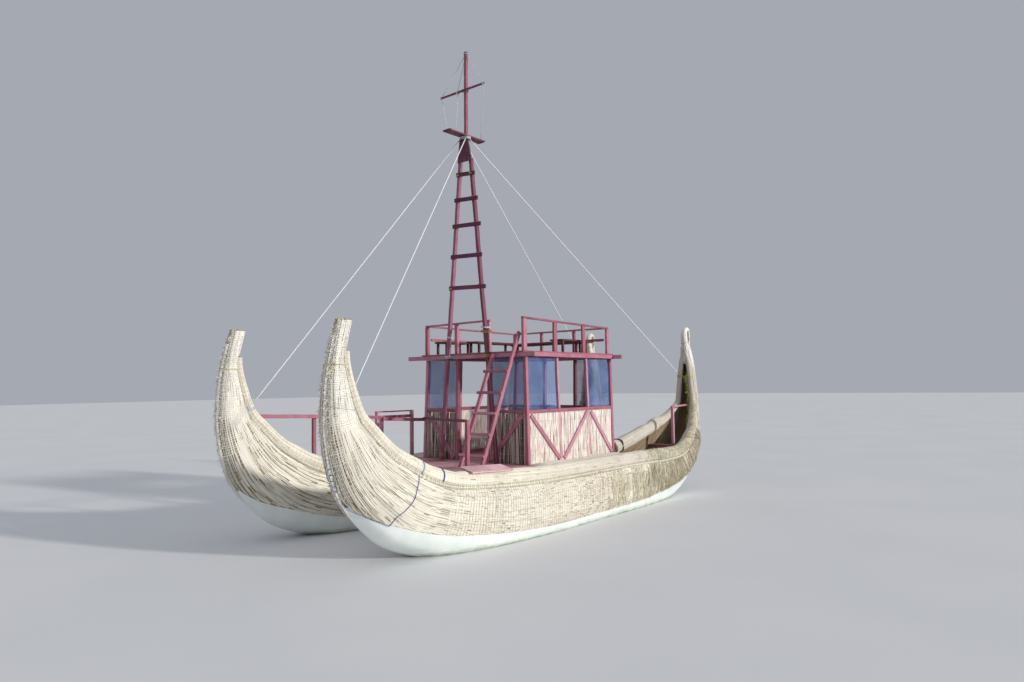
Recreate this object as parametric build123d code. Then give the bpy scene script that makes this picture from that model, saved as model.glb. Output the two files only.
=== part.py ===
from build123d import *
import math
import os

os.makedirs("parts", exist_ok=True)

# Reed-clad twin-hull boat, millimetres. +X is the bow, +Y is port, +Z is up.
# Tables give x from the middle between the bow and stern tips, y from the centreline and z from the waterline.
# at() turns that into the part's frame: z = 0 is the flat of the keels, and x = 0 is the middle of the whole boat.

# ---- driving dimensions ----
DRAFT = 400.0            # keel flat to waterline
SHIFT_X = -15.0          # middle of the tips to the middle of the whole boat
HULL_Y = 1381.6          # centre plane of each hull from the centreline
SKIN = 65.0              # thickness of the reed sides
CLEAR = 1.5              # gap left where two pieces meet
DECK_Z = 1090.0          # top of the deck planks
PLANK = 30.0             # deck plank thickness
BEAM_W, BEAM_H = 70.0, 105.0
DECK_Y = 1650.0          # half width of the deck
DECK_FRONT, DECK_AFT = 2790.0, -1850.0

CAB_FRONT, CAB_AFT, CAB_SIDE = 1019.0, -1800.0, 1363.0   # outer faces of the cabin at its foot
CAB_FOOT, SILL_Z, CAB_TOP = 1093.5, 2035.0, 3028.0
LEAN_X, LEAN_Y, LEAN_AFT = 0.0194, 0.036, -0.031          # walls lean in by this much per mm of height
POST = 70.0
ROOF_BEAM = 80.0
ROOF_Z = CAB_TOP + ROOF_BEAM + 4.0                        # underside of the roof planks
ROOF_PLANK = 24.0
ROOF_TOP = ROOF_Z + ROOF_PLANK
RAIL_TOP = 3690.0

MAST_X = 1128.0          # plane of the mast's two legs
MAST_FOOT = (-722.0, 702.0)
MAST_NECK_Z, MAST_NECK_HALF = 6850.0, 135.0
MAST_TIP_Z = 8965.0
STAY_D = 14.0


def at(x, y, z):
    return Vector(x + SHIFT_X, y, z + DRAFT)


def put(name, *solids):
    """Writes one node: one solid, or several that don't touch."""
    flat = [s for group in solids for s in (group if isinstance(group, list) else [group])]
    flat = [s if isinstance(s, Solid) else s.solid() for s in flat]
    export_step(flat[0] if len(flat) == 1 else Compound(children=flat), f"parts/{name}.step")


def bar(p, q, across, depth, up=(0, 0, 1)):
    """A sawn bar with its centre line from p to q; depth is measured along up, and across is square to it."""
    a, b = at(*p), at(*q)
    axis = (b - a).normalized()
    side = axis.cross(Vector(*up)).normalized()
    return Plane(origin=(a + b) * 0.5, x_dir=side, z_dir=axis) * Box(across, depth, (b - a).length)


def rod(p, q, diameter):
    a, b = at(*p), at(*q)
    return Plane(origin=(a + b) * 0.5, z_dir=(b - a).normalized()) * Cylinder(diameter / 2, (b - a).length)


def slab(corners, push):
    """A flat panel: its corners on one plane, and the direction and thickness it is given."""
    face = Face(Wire.make_polygon([at(*c) for c in corners], close=True))
    return Solid.extrude(face, Vector(*push))


# ---- the hulls ----
# Each station is a plane through the keel line, across the boat. Along it, distance s runs from the keel or stem up to
# the gunwale. Columns, mm and degrees:
# name, x and z of the keel line, deg = slope of the plane's s direction (90 is straight up, 180 points aft),
# out and inn = s of the outboard and inboard gunwale rolls, half = widest half breadth, low = half breadth at the
# bilge, grip = roll centre from the hull's centre plane, roll = roll radius, band = s of the pale float's top edge,
# keel = half width of the keel flat.
STATION = [
    # name    x      z    deg   out   inn  half  low grip roll band keel
    ("b0",  5170, 3440,  180,  210,  210,  100,  92,   0,   0,   0,   0),
    ("b1",  5280, 3000,  178,  212,  212,  115, 106,  66,  55,   0,   0),
    ("b2",  5370, 2500,  176,  352,  352,  172, 158, 116,  72,   0,   0),
    ("b3",  5390, 2050,  168,  488,  488,  215, 195, 158,  85,   0,   0),
    ("b4",  5340, 1600,  155,  700,  700,  270, 240, 200,  95,   0,   0),
    ("b5",  5200, 1120,  145,  900,  900,  350, 305, 255, 105,   0,   0),
    ("b5b", 5060,  880,  138,  975,  975,  395, 335, 280, 112,  32,   8),
    ("b6",  4870,  650,  131, 1050, 1050,  435, 370, 305, 120, 100,  15),
    ("b7",  4400,  260,  118, 1140, 1140,  505, 440, 345, 126, 300,  35),
    ("b8",  3740,    0,  107, 1170, 1170,  560, 500, 385, 132, 370,  60),
    ("b9",  2950, -220,   98, 1290, 1290,  600, 555, 415, 138, 475,  90),
    ("b10", 2000, -370,   92, 1385, 1385,  625, 590, 430, 140, 540, 110),
    ("b11",  900, -400,   90, 1387, 1387,  622, 600, 430, 140, 537, 120),
    ("mid", -500, -400,   90, 1392, 1392,  605, 530, 430, 140, 547, 120),
    ("a1", -1850, -400,   90, 1400, 1400,  588, 480, 428, 140, 572, 120),
    ("a2", -2400, -350,   88, 1345, 1490,  575, 455, 425, 140, 560, 110),
    ("a3", -3300, -180,   80, 1180, 1480,  555, 430, 410, 138, 487,  80),
    ("a4", -4150,  100,   65, 1000, 1450,  515, 395, 380, 130, 410,  45),
    ("a5", -4750,  520,   48,  830, 1330,  450, 360, 330, 120, 225,  20),
    ("a5b",-4970,  780,   43,  740, 1190,  415, 345, 305, 115,  45,   8),
    ("a6", -5120, 1000,   38,  660, 1060,  375, 320, 278, 100,   0,   0),
    ("a7", -5290, 1500,   28,  520,  760,  262, 228, 208,  76,   0,   0),
    ("a8", -5360, 2000,   14,  450,  450,  204, 180, 184,  60,   0,   0),
    ("a9", -5330, 2500,    4,  400,  400,  170, 150, 142,  54,   0,   0),
    ("a10",-5240, 3000,   -2,  300,  300,  135, 122,  88,  50,   0,   0),
    ("a11",-5140, 3400,   -4,  250,  250,   92,  84,   0,  46,   0,   0),
]
COL = ("name", "x", "z", "deg", "out", "inn", "half", "low", "grip", "roll", "band", "keel")
STATION = [dict(zip(COL, row)) for row in STATION]
INDEX = {s["name"]: i for i, s in enumerate(STATION)}
UNDER_DECK = DECK_Z - PLANK - BEAM_H                      # where the inboard reed sides stop under the deck beams


def stretch(first, last):
    return STATION[INDEX[first]: INDEX[last] + 1]


def spot(st, s, y, hull):
    """A point of a station's plane: s along it, y outboard of the hull's centre plane."""
    a = math.radians(st["deg"])
    return at(st["x"] + s * math.cos(a), hull * (HULL_Y + y), st["z"] + s * math.sin(a))


def breadth(st, s, top, top_y):
    """Half breadth of the outside of the hull at distance s."""
    L = st["out"]
    line = [(0, st["keel"]), (0.12 * L, 0.70 * st["low"]), (0.30 * L, st["low"]), (0.55 * L, st["half"]),
            (0.80 * L, 0.985 * st["half"]), (max(top, 0.81 * L), top_y)]
    for (s0, y0), (s1, y1) in zip(line, line[1:]):
        if s <= s1:
            return y0 + (y1 - y0) * (s - s0) / (s1 - s0)
    return top_y


def side_skin(first, last, hull, side):
    """One reed side: side is +1 for outboard and -1 for inboard."""
    wires = []
    for st in stretch(first, last):
        L = st["out"] if side > 0 else st["inn"]
        top = L - st["roll"] - CLEAR
        top_y = st["grip"] + 0.80 * st["roll"]
        if side < 0 and INDEX["b9"] < INDEX[st["name"]] < INDEX["a2"]:
            top = (UNDER_DECK - CLEAR - st["z"]) / math.sin(math.radians(st["deg"]))
        low = st["band"] + (CLEAR if st["band"] else 0)
        ss = [low + (top - low) * f for f in (0, 0.2, 0.4, 0.6, 0.8, 1)]
        outer = [(s, breadth(st, s, top, top_y)) for s in ss]
        inner = [(s, max(y - SKIN, 12)) for s, y in outer]
        if not st["band"]:
            outer[0] = (0, CLEAR / 2)
            inner[0] = (min(1.2 * SKIN, 0.6 * ss[1]), CLEAR / 2)
        pts = [spot(st, s, side * y, hull) for s, y in outer + inner[::-1]]
        wires.append(Wire.make_polygon(pts, close=True))
    return Solid.make_loft(wires, ruled=True)


def float_body(first, last, hull):
    """The pale lower hull, closed on top, that the reed sides stand on."""
    wires = []
    for st in stretch(first, last):
        top = st["out"] - st["roll"]
        ss = [st["band"] * f for f in (0, 0.25, 0.6, 1)]
        half = [(s, breadth(st, s, top, st["grip"] + 0.80 * st["roll"])) for s in ss]
        pts = [spot(st, s, y, hull) for s, y in half] + [spot(st, s, -y, hull) for s, y in half[::-1]]
        wires.append(Wire.make_polygon(pts, close=True))
    return Solid.make_loft(wires, ruled=True)


ROLL_SIDES = 14


def between(first, second, t):
    """A station part of the way from one to the next."""
    a, b = STATION[INDEX[first]], STATION[INDEX[second]]
    return {k: a[k] if k == "name" else a[k] + (b[k] - a[k]) * t for k in COL}


def gunwale_roll(row, hull, side):
    """A bound roll of reeds along the gunwale, round in section."""
    wires = []
    for st in row:
        s0 = st["out"] if side > 0 else st["inn"]
        turn = [math.radians(360 / ROLL_SIDES * (i + 0.5)) for i in range(ROLL_SIDES)]
        pts = [spot(st, s0 + st["roll"] * math.cos(t), side * st["grip"] + st["roll"] * math.sin(t), hull) for t in turn]
        wires.append(Wire.make_polygon(pts, close=True))
    return Solid.make_loft(wires, ruled=True)


def horn(first, last, hull):
    """The solid bundle of reeds at the top of a stem or stern."""
    wires = []
    for st in stretch(first, last):
        rolled = st["grip"] > 0
        top = st["out"] - (st["roll"] + CLEAR if rolled else 0)
        top_y = st["grip"] + 0.80 * st["roll"] if rolled else 0.62 * st["half"]
        ss = [top * f for f in (0.16, 0.38, 0.68, 1)]
        half = [(s, breadth(st, s, top, top_y)) for s in ss]
        ring = [(0, 0.32 * st["half"])] + half
        pts = [spot(st, s, y, hull) for s, y in ring] + [spot(st, s, -y, hull) for s, y in ring[::-1]]
        wires.append(Wire.make_polygon(pts, close=True))
    return Solid.make_loft(wires, ruled=True)


# The curled stern tail: centre line in the hull's centre plane, with its radius at each point. Columns: x, z, radius.
TAIL = [(-4984, 3430, 74), (-4950, 3520, 76), (-4936, 3620, 75), (-4952, 3702, 70), (-4992, 3764, 62), (-5062, 3800, 52),
        (-5130, 3774, 40), (-5172, 3700, 28), (-5180, 3600, 21), (-5162, 3500, 19), (-5124, 3424, 20)]


def tail_loop(hull):
    wires = []
    for i, (x, z, r) in enumerate(TAIL):
        x0, z0, _ = TAIL[max(i - 1, 0)]
        x1, z1, _ = TAIL[min(i + 1, len(TAIL) - 1)]
        d = math.hypot(x1 - x0, z1 - z0)
        plane = Plane(origin=at(x, hull * HULL_Y, z), x_dir=(0, 1, 0), z_dir=((x1 - x0) / d, 0, (z1 - z0) / d))
        wires.append(Wire.make_circle(r, plane))
    return Solid.make_loft(wires, ruled=True)


for name, hull in (("port", 1), ("starboard", -1)):
    put(f"{name}_float", float_body("b5b", "a5b", hull))
    put(f"{name}_outboard_reed_side", side_skin("b3", "a10", hull, 1))
    put(f"{name}_inboard_reed_side", side_skin("b3", "a10", hull, -1))
    put(f"{name}_outboard_roll", gunwale_roll(stretch("b1", "a10"), hull, 1))
    put(f"{name}_inboard_roll_forward", gunwale_roll(stretch("b1", "b8") + [between("b8", "b9", 0.85)], hull, -1))
    put(f"{name}_inboard_roll_aft", gunwale_roll(stretch("a2", "a10"), hull, -1))
    put(f"{name}_bow_horn", horn("b0", "b3", hull))
    put(f"{name}_stern_horn", horn("a10", "a11", hull))
    put(f"{name}_stern_tail", tail_loop(hull))

# Boards across the open ends of the hulls. Columns: x, z of the middle, reach outboard and inboard of the hull's centre.
THWART = [(3600, 1170, 228, 228), (-3950, 1105, 219, 380)]
put("hull_thwarts", [
    bar((x, h * (HULL_Y - w_in), z), (x, h * (HULL_Y + w_out), z), 190, 34)
    for x, z, w_out, w_in in THWART for h in (1, -1)])

# ---- deck ----
BEAM_X = (2740, 2180, 1620, 985, 60, -900, -1790)
put("deck_beams", [
    bar((x, -DECK_Y, UNDER_DECK + BEAM_H / 2), (x, DECK_Y, UNDER_DECK + BEAM_H / 2), BEAM_W, BEAM_H - CLEAR)
    for x in BEAM_X])


def planks(x0, x1, z_top, thick, y0, y1, count, gap):
    pitch = (y1 - y0) / count
    return [bar((x0, y0 + pitch * (i + 0.5), z_top - thick / 2), (x1, y0 + pitch * (i + 0.5), z_top - thick / 2),
                pitch - gap, thick) for i in range(count)]


put("front_deck_planks", planks(1030, DECK_FRONT, DECK_Z, PLANK - CLEAR, -DECK_Y, DECK_Y, 17, 9))
put("cabin_floor_planks", planks(DECK_AFT, 1020, DECK_Z, PLANK - CLEAR, -DECK_Y, DECK_Y, 17, 9))
# A board laid over the port roll as a step, tipped outboard.
put("port_step_plank", bar((2120, 1800, 1190), (3080, 1800, 1237), 290, 28, up=(0, 0.225, 0.974)))

# ---- cabin ----


def face_x(z, end):
    """Outer face of the front (+1) or aft (-1) wall at height z."""
    return CAB_FRONT - LEAN_X * (z - 1080) if end > 0 else CAB_AFT + LEAN_AFT * (z - 1080)


def face_y(z, side):
    return side * (CAB_SIDE - LEAN_Y * (z - 1080))


SIDE_POST_X = (15.0, -948.0)
FRONT_POST_Y = (-430.0, 392.0)
half = POST / 2
posts = []
for end in (1, -1):
    for side in (1, -1):
        foot = (face_x(CAB_FOOT, end) - end * half, face_y(CAB_FOOT, side) - side * half, CAB_FOOT)
        head = (face_x(CAB_TOP, end) - end * half, face_y(CAB_TOP, side) - side * half, CAB_TOP)
        posts.append(bar(foot, head, POST, POST, up=(1, 0, 0)))
    for y in FRONT_POST_Y:
        posts.append(bar((face_x(CAB_FOOT, end) - end * half, y, CAB_FOOT),
                         (face_x(CAB_TOP, end) - end * half, y, CAB_TOP), 60, POST, up=(1, 0, 0)))
RAIL_H = 62.0
# The side walls' middle posts stand on the bottom rail behind the reed panels, and again on the sill above them.
for side in (1, -1):
    for x in SIDE_POST_X:
        for z0, z1, inset, deep in ((CAB_FOOT + RAIL_H + 4, SILL_Z - RAIL_H / 2 - CLEAR, 53, 34),
                                    (SILL_Z + RAIL_H / 2 + CLEAR, CAB_TOP, 34, 58)):
            posts.append(bar((x, face_y(z0, side) - side * inset, z0),
                             (x, face_y(z1, side) - side * inset, z1), deep, 60, up=(1, 0, 0)))
put("cabin_posts", posts)

# Bays of the four walls, between post faces. Columns: wall, start and end along the wall at the foot, kind of the
# upper half (pane, open or door), and the way its brace runs (1 rises along the bay, -1 falls, 0 has none).
FIRST, SECOND = SIDE_POST_X
BAY = [
    ("port",      CAB_FRONT - POST - 3,  FIRST + 31.5, "pane", -1),
    ("port",      FIRST - 31.5,    SECOND + 31.5, "open", 1),
    ("port",      SECOND - 31.5,  CAB_AFT + POST + 3, "pane", -1),
    ("starboard", CAB_FRONT - POST - 3,  FIRST + 31.5, "pane", -1),
    ("starboard", FIRST - 31.5,    SECOND + 31.5, "open", 1),
    ("starboard", SECOND - 31.5,  CAB_AFT + POST + 3, "pane", -1),
    ("front",     -CAB_SIDE + POST + 3, -430 - 31.5, "pane", -1),
    ("front",     392 + 31.5,  CAB_SIDE - POST - 3, "pane", 1),
    ("aft",       -CAB_SIDE + POST + 3, -430 - 31.5, "pane", -1),
    ("aft",       -430 + 31.5, 392 - 31.5, "open", 1),
    ("aft",       392 + 31.5,  CAB_SIDE - POST - 3, "pane", 1),
]
# Runs of rail and reed panel: the whole length of a side wall, one bay of an end wall.
RUN = [("port", CAB_FRONT - POST - 3, CAB_AFT + POST + 3), ("starboard", CAB_FRONT - POST - 3, CAB_AFT + POST + 3)] + [
    (wall, u0, u1) for wall, u0, u1, upper, way in BAY if wall in ("front", "aft")]


def on_wall(wall, u, z, inset):
    """A point of a wall: u along it, and inset from its outer face. u shrinks towards the leaning corners."""
    if wall in ("port", "starboard"):
        side = 1 if wall == "port" else -1
        lean = LEAN_X * (z - 1080)
        x = u - lean if u > CAB_FRONT - 2 * POST else (u + LEAN_AFT * (z - 1080) if u < CAB_AFT + 2 * POST else u)
        return (x, face_y(z, side) - side * inset, z)
    end = 1 if wall == "front" else -1
    lean = LEAN_Y * (z - 1080)
    y = u - lean if u > CAB_SIDE - 2 * POST else (u + lean if u < -CAB_SIDE + 2 * POST else u)
    return (face_x(z, end) - end * inset, y, z)


OUT = {"port": (0, 1, 0), "starboard": (0, -1, 0), "front": (1, 0, 0), "aft": (-1, 0, 0)}
panels = {"port": [], "starboard": [], "front": [], "aft": []}
rails, braces, panes = [], [], []
for wall, u0, u1 in RUN:
    n = OUT[wall]
    step = 1 if u1 > u0 else -1
    z = CAB_FOOT + RAIL_H / 2 + 2
    rails.append(bar(on_wall(wall, u0, z, 53), on_wall(wall, u1, z, 53), 34, RAIL_H))
    rails.append(bar(on_wall(wall, u0, SILL_Z, 34), on_wall(wall, u1, SILL_Z, 34), POST - 12, RAIL_H))
    z0, z1 = CAB_FOOT + 4, SILL_Z - RAIL_H / 2 - 3
    a, b, c, d = (on_wall(wall, u0 + 2 * step, z0, 10), on_wall(wall, u1 - 2 * step, z0, 10),
                  on_wall(wall, u1 - 2 * step, z1, 10), on_wall(wall, u0 + 2 * step, z1, 10))
    panels[wall].append(slab([a, b, c, d], [-24 * v for v in n]))
for wall, u0, u1, upper, run in BAY:
    n = OUT[wall]
    step = 1 if u1 > u0 else -1
    if upper == "pane":
        z0, z1 = SILL_Z + RAIL_H / 2 + 3, CAB_TOP - 3
        a, b, c, d = (on_wall(wall, u0 + 2 * step, z0, 34), on_wall(wall, u1 - 2 * step, z0, 34),
                      on_wall(wall, u1 - 2 * step, z1, 34), on_wall(wall, u0 + 2 * step, z1, 34))
        panes.append(slab([a, b, c, d], [-4 * v for v in n]))
    if run:
        z0, z1 = CAB_FOOT + 40, SILL_Z - RAIL_H / 2 - 30
        lo, hi = (u0 + 32 * step, u1 - 32 * step) if run > 0 else (u1 - 32 * step, u0 + 32 * step)
        braces.append(bar(on_wall(wall, lo, z0, -4), on_wall(wall, hi, z1, -4), 80, 22, up=n))
put("cabin_wall_rails", rails)
put("cabin_braces", braces)
for wall in panels:
    put(f"{wall}_reed_panels", panels[wall])
put("window_panes", panes)

# ---- roof deck ----
rb = CAB_TOP + 2 + ROOF_BEAM / 2
# Columns: x, y of the starboard and port ends. The first and last stick out past the walls.
ROOF_BEAM_AT = [(1046, -1720, 1575), (15, -1330, 1330), (-948, -1330, 1330), (-1842, -1330, 1560)]
put("roof_beams", [bar((x, y0, rb), (x, y1, rb), 58, ROOF_BEAM) for x, y0, y1 in ROOF_BEAM_AT])
put("roof_planks", planks(-1880, 1082, ROOF_TOP, ROOF_PLANK, -1330, 1330, 14, 8))
put("roof_fascias", [
    bar((1010, side * 1346, rb + 4), (-1805, side * 1346, rb + 4), 26, 78) for side in (1, -1)])

post_top = RAIL_TOP - 36
# Roof rail posts. Columns: x, y, size along x, size along y, how far above the aft end's height it stands.
ROOF_POST_AT = [
    (966, -1266, 62, 74, 46), (966, -436, 62, 72, 52), (966, 408, 62, 72, 58), (966, 1256, 100, 56, 66),
    (52, 1262, 98, 44, 44), (-888, 1262, 92, 42, 21), (-1766, 1252, 80, 44, 0),
    (52, -1262, 56, 52, 29), (-888, -1262, 56, 52, 14), (-1766, -1252, 56, 52, 0), (-1766, -470, 56, 60, 0),
    (-1766, 414, 56, 60, 0)]
put("roof_rail_posts", [
    bar((x, y, ROOF_TOP + CLEAR), (x, y, post_top + up - 2.5), wy, wx, up=(1, 0, 0)) for x, y, wx, wy, up in ROOF_POST_AT])
# Top rails run along the post tops, and mid rails lie on the inner faces of the posts.
# Columns: x, y, z of one end and the other, width, height.
top_z = post_top + 18
mid_z = ROOF_TOP + 0.52 * (RAIL_TOP - ROOF_TOP)
ROOF_RAIL = [
    (1014, 1252, top_z + 68, -1732, 1252, top_z + 1, 60, 34), (1000, -1264, top_z + 48, -1732, -1252, top_z + 1, 60, 34),
    (966, -1222, top_z + 47, 966, 446, top_z + 60, 60, 34), (-1766, -1290, top_z, -1766, 1290, top_z, 60, 34),
    (920, -1209, mid_z + 20, -1700, -1209, mid_z, 30, 54), (-1719, -1180, mid_z + 4, -1719, 1200, mid_z + 4, 30, 54),
]
put("roof_rails", [bar((x0, y0, z0), (x1, y1, z1), w, h) for x0, y0, z0, x1, y1, z1, w, h in ROOF_RAIL])

# Benches on the roof. Columns: x0, y0, x1, y1 of the seat's centre line, and its width.
BENCH = [(860, -1010, 120, -1010, 330), (420, -560, -860, -560, 300), (-1480, -1000, -1480, 1000, 300),
         (-300, 1020, -1220, 1020, 300)]
seat_z = 3385.0
bench = []
for x0, y0, x1, y1, w in BENCH:
    bench.append(bar((x0, y0, seat_z), (x1, y1, seat_z), w, 34))
    for f in (0.08, 0.92):
        x, y = x0 + (x1 - x0) * f, y0 + (y1 - y0) * f
        along_x = abs(x1 - x0) > abs(y1 - y0)
        for g in (-0.37, 0.37):
            px, py = (x, y + g * w) if along_x else (x + g * w, y)
            bench.append(bar((px, py, ROOF_TOP + CLEAR), (px, py, seat_z - 17 - CLEAR), 44, 44, up=(1, 0, 0)))
put("roof_benches", bench)

# ---- ladder to the roof ----
# Stiles, columns: foot x, y, z and head x, y, z.
STILE = [(2035, 657, 1110, 1140, 657, 3092), (2035, 1155, 1110, 972, 1142, 3482)]
STILE_W, STILE_T = 46.0, 72.0
put("ladder_stiles", [bar((a, b, c), (d, e, f), STILE_W, STILE_T) for a, b, c, d, e, f in STILE])
# Rungs are boards nailed to the fronts of both stiles. Columns: height, and how far each end passes its stile.
RUNG = [(1300, 38, 4), (1655, 12, 2), (2010, 26, 3), (2370, 44, 4), (2750, 40, 3)]
rungs = []
for z, over0, over1 in RUNG:
    ends = []
    for (a, b, c, d, e, f), outward, over in zip(STILE, (-1, 1), (over0, over1)):
        run = math.hypot(d - a, f - c)
        t = (z - c) / (f - c)
        out = STILE_T / 2 + 13 + 3
        ends.append((a + (d - a) * t + out * (f - c) / run, b + (e - b) * t + outward * (STILE_W / 2 + over),
                     z - out * (d - a) / run))
    way = (STILE[0][3] - STILE[0][0], 0, STILE[0][5] - STILE[0][2])
    rungs.append(bar(*ends, 26, 48, up=way))
put("ladder_rungs", rungs)

# ---- mast ----
legs = [bar((MAST_X, MAST_FOOT[i], DECK_Z + 5), (MAST_X, s * MAST_NECK_HALF, MAST_NECK_Z), 62, 70, up=(1, 0, 0))
        for i, s in ((0, -1), (1, 1))]
put("mast_legs", legs)
# Rungs nailed across the legs. Columns: z, y of the starboard and port ends.
MAST_RUNG = [(6560, -205, 276), (6072, -262, 346), (5570, -318, 416), (4982, -372, 440), (4378, -428, 525)]
put("mast_rungs", [bar((MAST_X + 48, y0, z + 18), (MAST_X + 48, y1, z - 22), 24, 78) for z, y0, y1 in MAST_RUNG])
gus = [(MAST_X + 36, -165, 6800), (MAST_X + 36, 205, 6800), (MAST_X + 36, 100, 7280), (MAST_X + 36, -100, 7280)]
put("mast_gusset", slab(gus, (26, 0, 0)))
put("topmast", bar((MAST_X, 10, MAST_NECK_Z + 20), (MAST_X, 30, MAST_TIP_Z), 58, 58, up=(1, 0, 0)))
cross = bar((MAST_X + 500, -25, 7315), (MAST_X - 490, -25, 7315), 190, 26)
hole = bar((MAST_X, 15, 7280), (MAST_X, 15, 7350), 66, 66, up=(1, 0, 0))
put("mast_cross_plank", cross - hole)
put("yard", rod((MAST_X + 58, -600, 8190), (MAST_X + 58, 545, 8195), 46))
# Main stays from the mast's neck. Columns: y at the mast, and the far end's x, y, z.
STAY = [(-75, 4866, -1208, 2282), (75, 4866, 1208, 2282), (-75, -4880, -1246, 2732), (75, -4880, 1246, 2732)]
stays = []
for y, x, y1, z in STAY:
    x0 = MAST_X + (75 if x > 0 else -45)
    stays.append(rod((x0, y, 7240), (x, y1, z), STAY_D))
put("main_stays", stays)

# ---- rails on deck ----
put("barrier_post", bar((2850, 1612, 1236), (2850, 1612, 1985), 60, 60, up=(1, 0, 0)))
put("barrier_pole", bar((2805, 1560, 1962), (1085, -1262, 1878), 46, 46))
# The starboard handrail from the cabin's corner to the bow: three lapped boards, then its posts.
put("starboard_handrail", [
    bar((1040, -1300, 1850), (2100, -1306, 1905), 46, 62),
    bar((1990, -1356, 1925), (3050, -1350, 1990), 46, 62),
    bar((2930, -1300, 1988), (4690, -1330, 2062), 46, 62)])
put("handrail_posts", [
    bar((2045, -1412, 1093), (2045, -1412, 1962), 60, 60, up=(1, 0, 0)),
    bar((3600, -1367, 1190), (3600, -1367, 2045), 60, 60, up=(1, 0, 0))])
put("starboard_side_rail", [
    bar((930, -1790, 1131), (930, -1790, 2035), 62, 62, up=(1, 0, 0)),
    bar((1840, -1790, 1160), (1840, -1790, 2035), 62, 62, up=(1, 0, 0)),
    bar((965, -1790, 2020), (1805, -1790, 2020), 44, 26),
    bar((965, -1790, 1915), (1805, -1790, 1915), 44, 60)])
put("stern_rail", [
    bar((-3950, 1556, 1126), (-3950, 1556, 1950), 60, 56, up=(1, 0, 0)),
    bar((-3915, 1553, 1972), (-4960, 1432, 1996), 44, 40)])
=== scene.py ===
import math
import bpy
import numpy as np
from mathutils import Matrix, Vector


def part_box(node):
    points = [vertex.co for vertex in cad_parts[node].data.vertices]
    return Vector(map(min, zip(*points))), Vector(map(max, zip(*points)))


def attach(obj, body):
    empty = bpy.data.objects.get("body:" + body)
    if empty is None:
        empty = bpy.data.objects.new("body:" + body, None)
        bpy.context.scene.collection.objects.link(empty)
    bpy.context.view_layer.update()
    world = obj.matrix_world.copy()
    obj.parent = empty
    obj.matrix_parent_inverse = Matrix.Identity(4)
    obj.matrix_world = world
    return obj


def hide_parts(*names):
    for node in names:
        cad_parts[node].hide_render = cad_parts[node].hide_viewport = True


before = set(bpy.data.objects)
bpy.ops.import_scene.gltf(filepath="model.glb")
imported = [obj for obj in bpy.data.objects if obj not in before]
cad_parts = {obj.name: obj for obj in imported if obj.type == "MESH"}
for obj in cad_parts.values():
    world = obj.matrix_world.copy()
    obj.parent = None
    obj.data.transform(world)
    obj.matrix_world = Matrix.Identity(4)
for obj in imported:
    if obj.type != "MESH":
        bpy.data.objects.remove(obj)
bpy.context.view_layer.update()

# Lengths in metres. W() turns a point measured from the waterline and the middle of the tips into the part's frame.
DRAFT, SHIFT, HULL_Y, SKIN = 0.400, -0.015, 1.3816, 0.065
WATER = DRAFT
rng = np.random.default_rng(20)
GOLD = 0.6180339887


def W(x, y, z):
    return np.array([x + SHIFT, y, z + DRAFT], float)


# ======================================================================================= mesh building

class Bag:
    """Vertices, quads and triangles of one piece, with a tone, a grain coordinate and a wear value on each vertex."""

    def __init__(self):
        self.v, self.q, self.t, self.qm, self.tm = [], [], [], [], []
        self.tone, self.grain, self.wear = [], [], []
        self.n = 0

    def add(self, v, q=None, t=None, mat=0, tone=0.5, grain=None, wear=0.0):
        v = np.asarray(v, float).reshape(-1, 3)
        k = len(v)
        self.v.append(v)
        self.tone.append(np.broadcast_to(np.asarray(tone, float), (k,)))
        self.wear.append(np.broadcast_to(np.asarray(wear, float), (k,)))
        self.grain.append(v if grain is None else np.asarray(grain, float).reshape(-1, 3))
        if q is not None and len(q):
            q = np.asarray(q, int).reshape(-1, 4)
            self.q.append(q + self.n)
            self.qm.append(np.full(len(q), mat))
        if t is not None and len(t):
            t = np.asarray(t, int).reshape(-1, 3)
            self.t.append(t + self.n)
            self.tm.append(np.full(len(t), mat))
        self.n += k

    def tris(self):
        return sum(len(q) * 2 for q in self.q) + sum(len(t) for t in self.t)


TOTAL, SIZES = {"tris": 0}, {}


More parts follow.
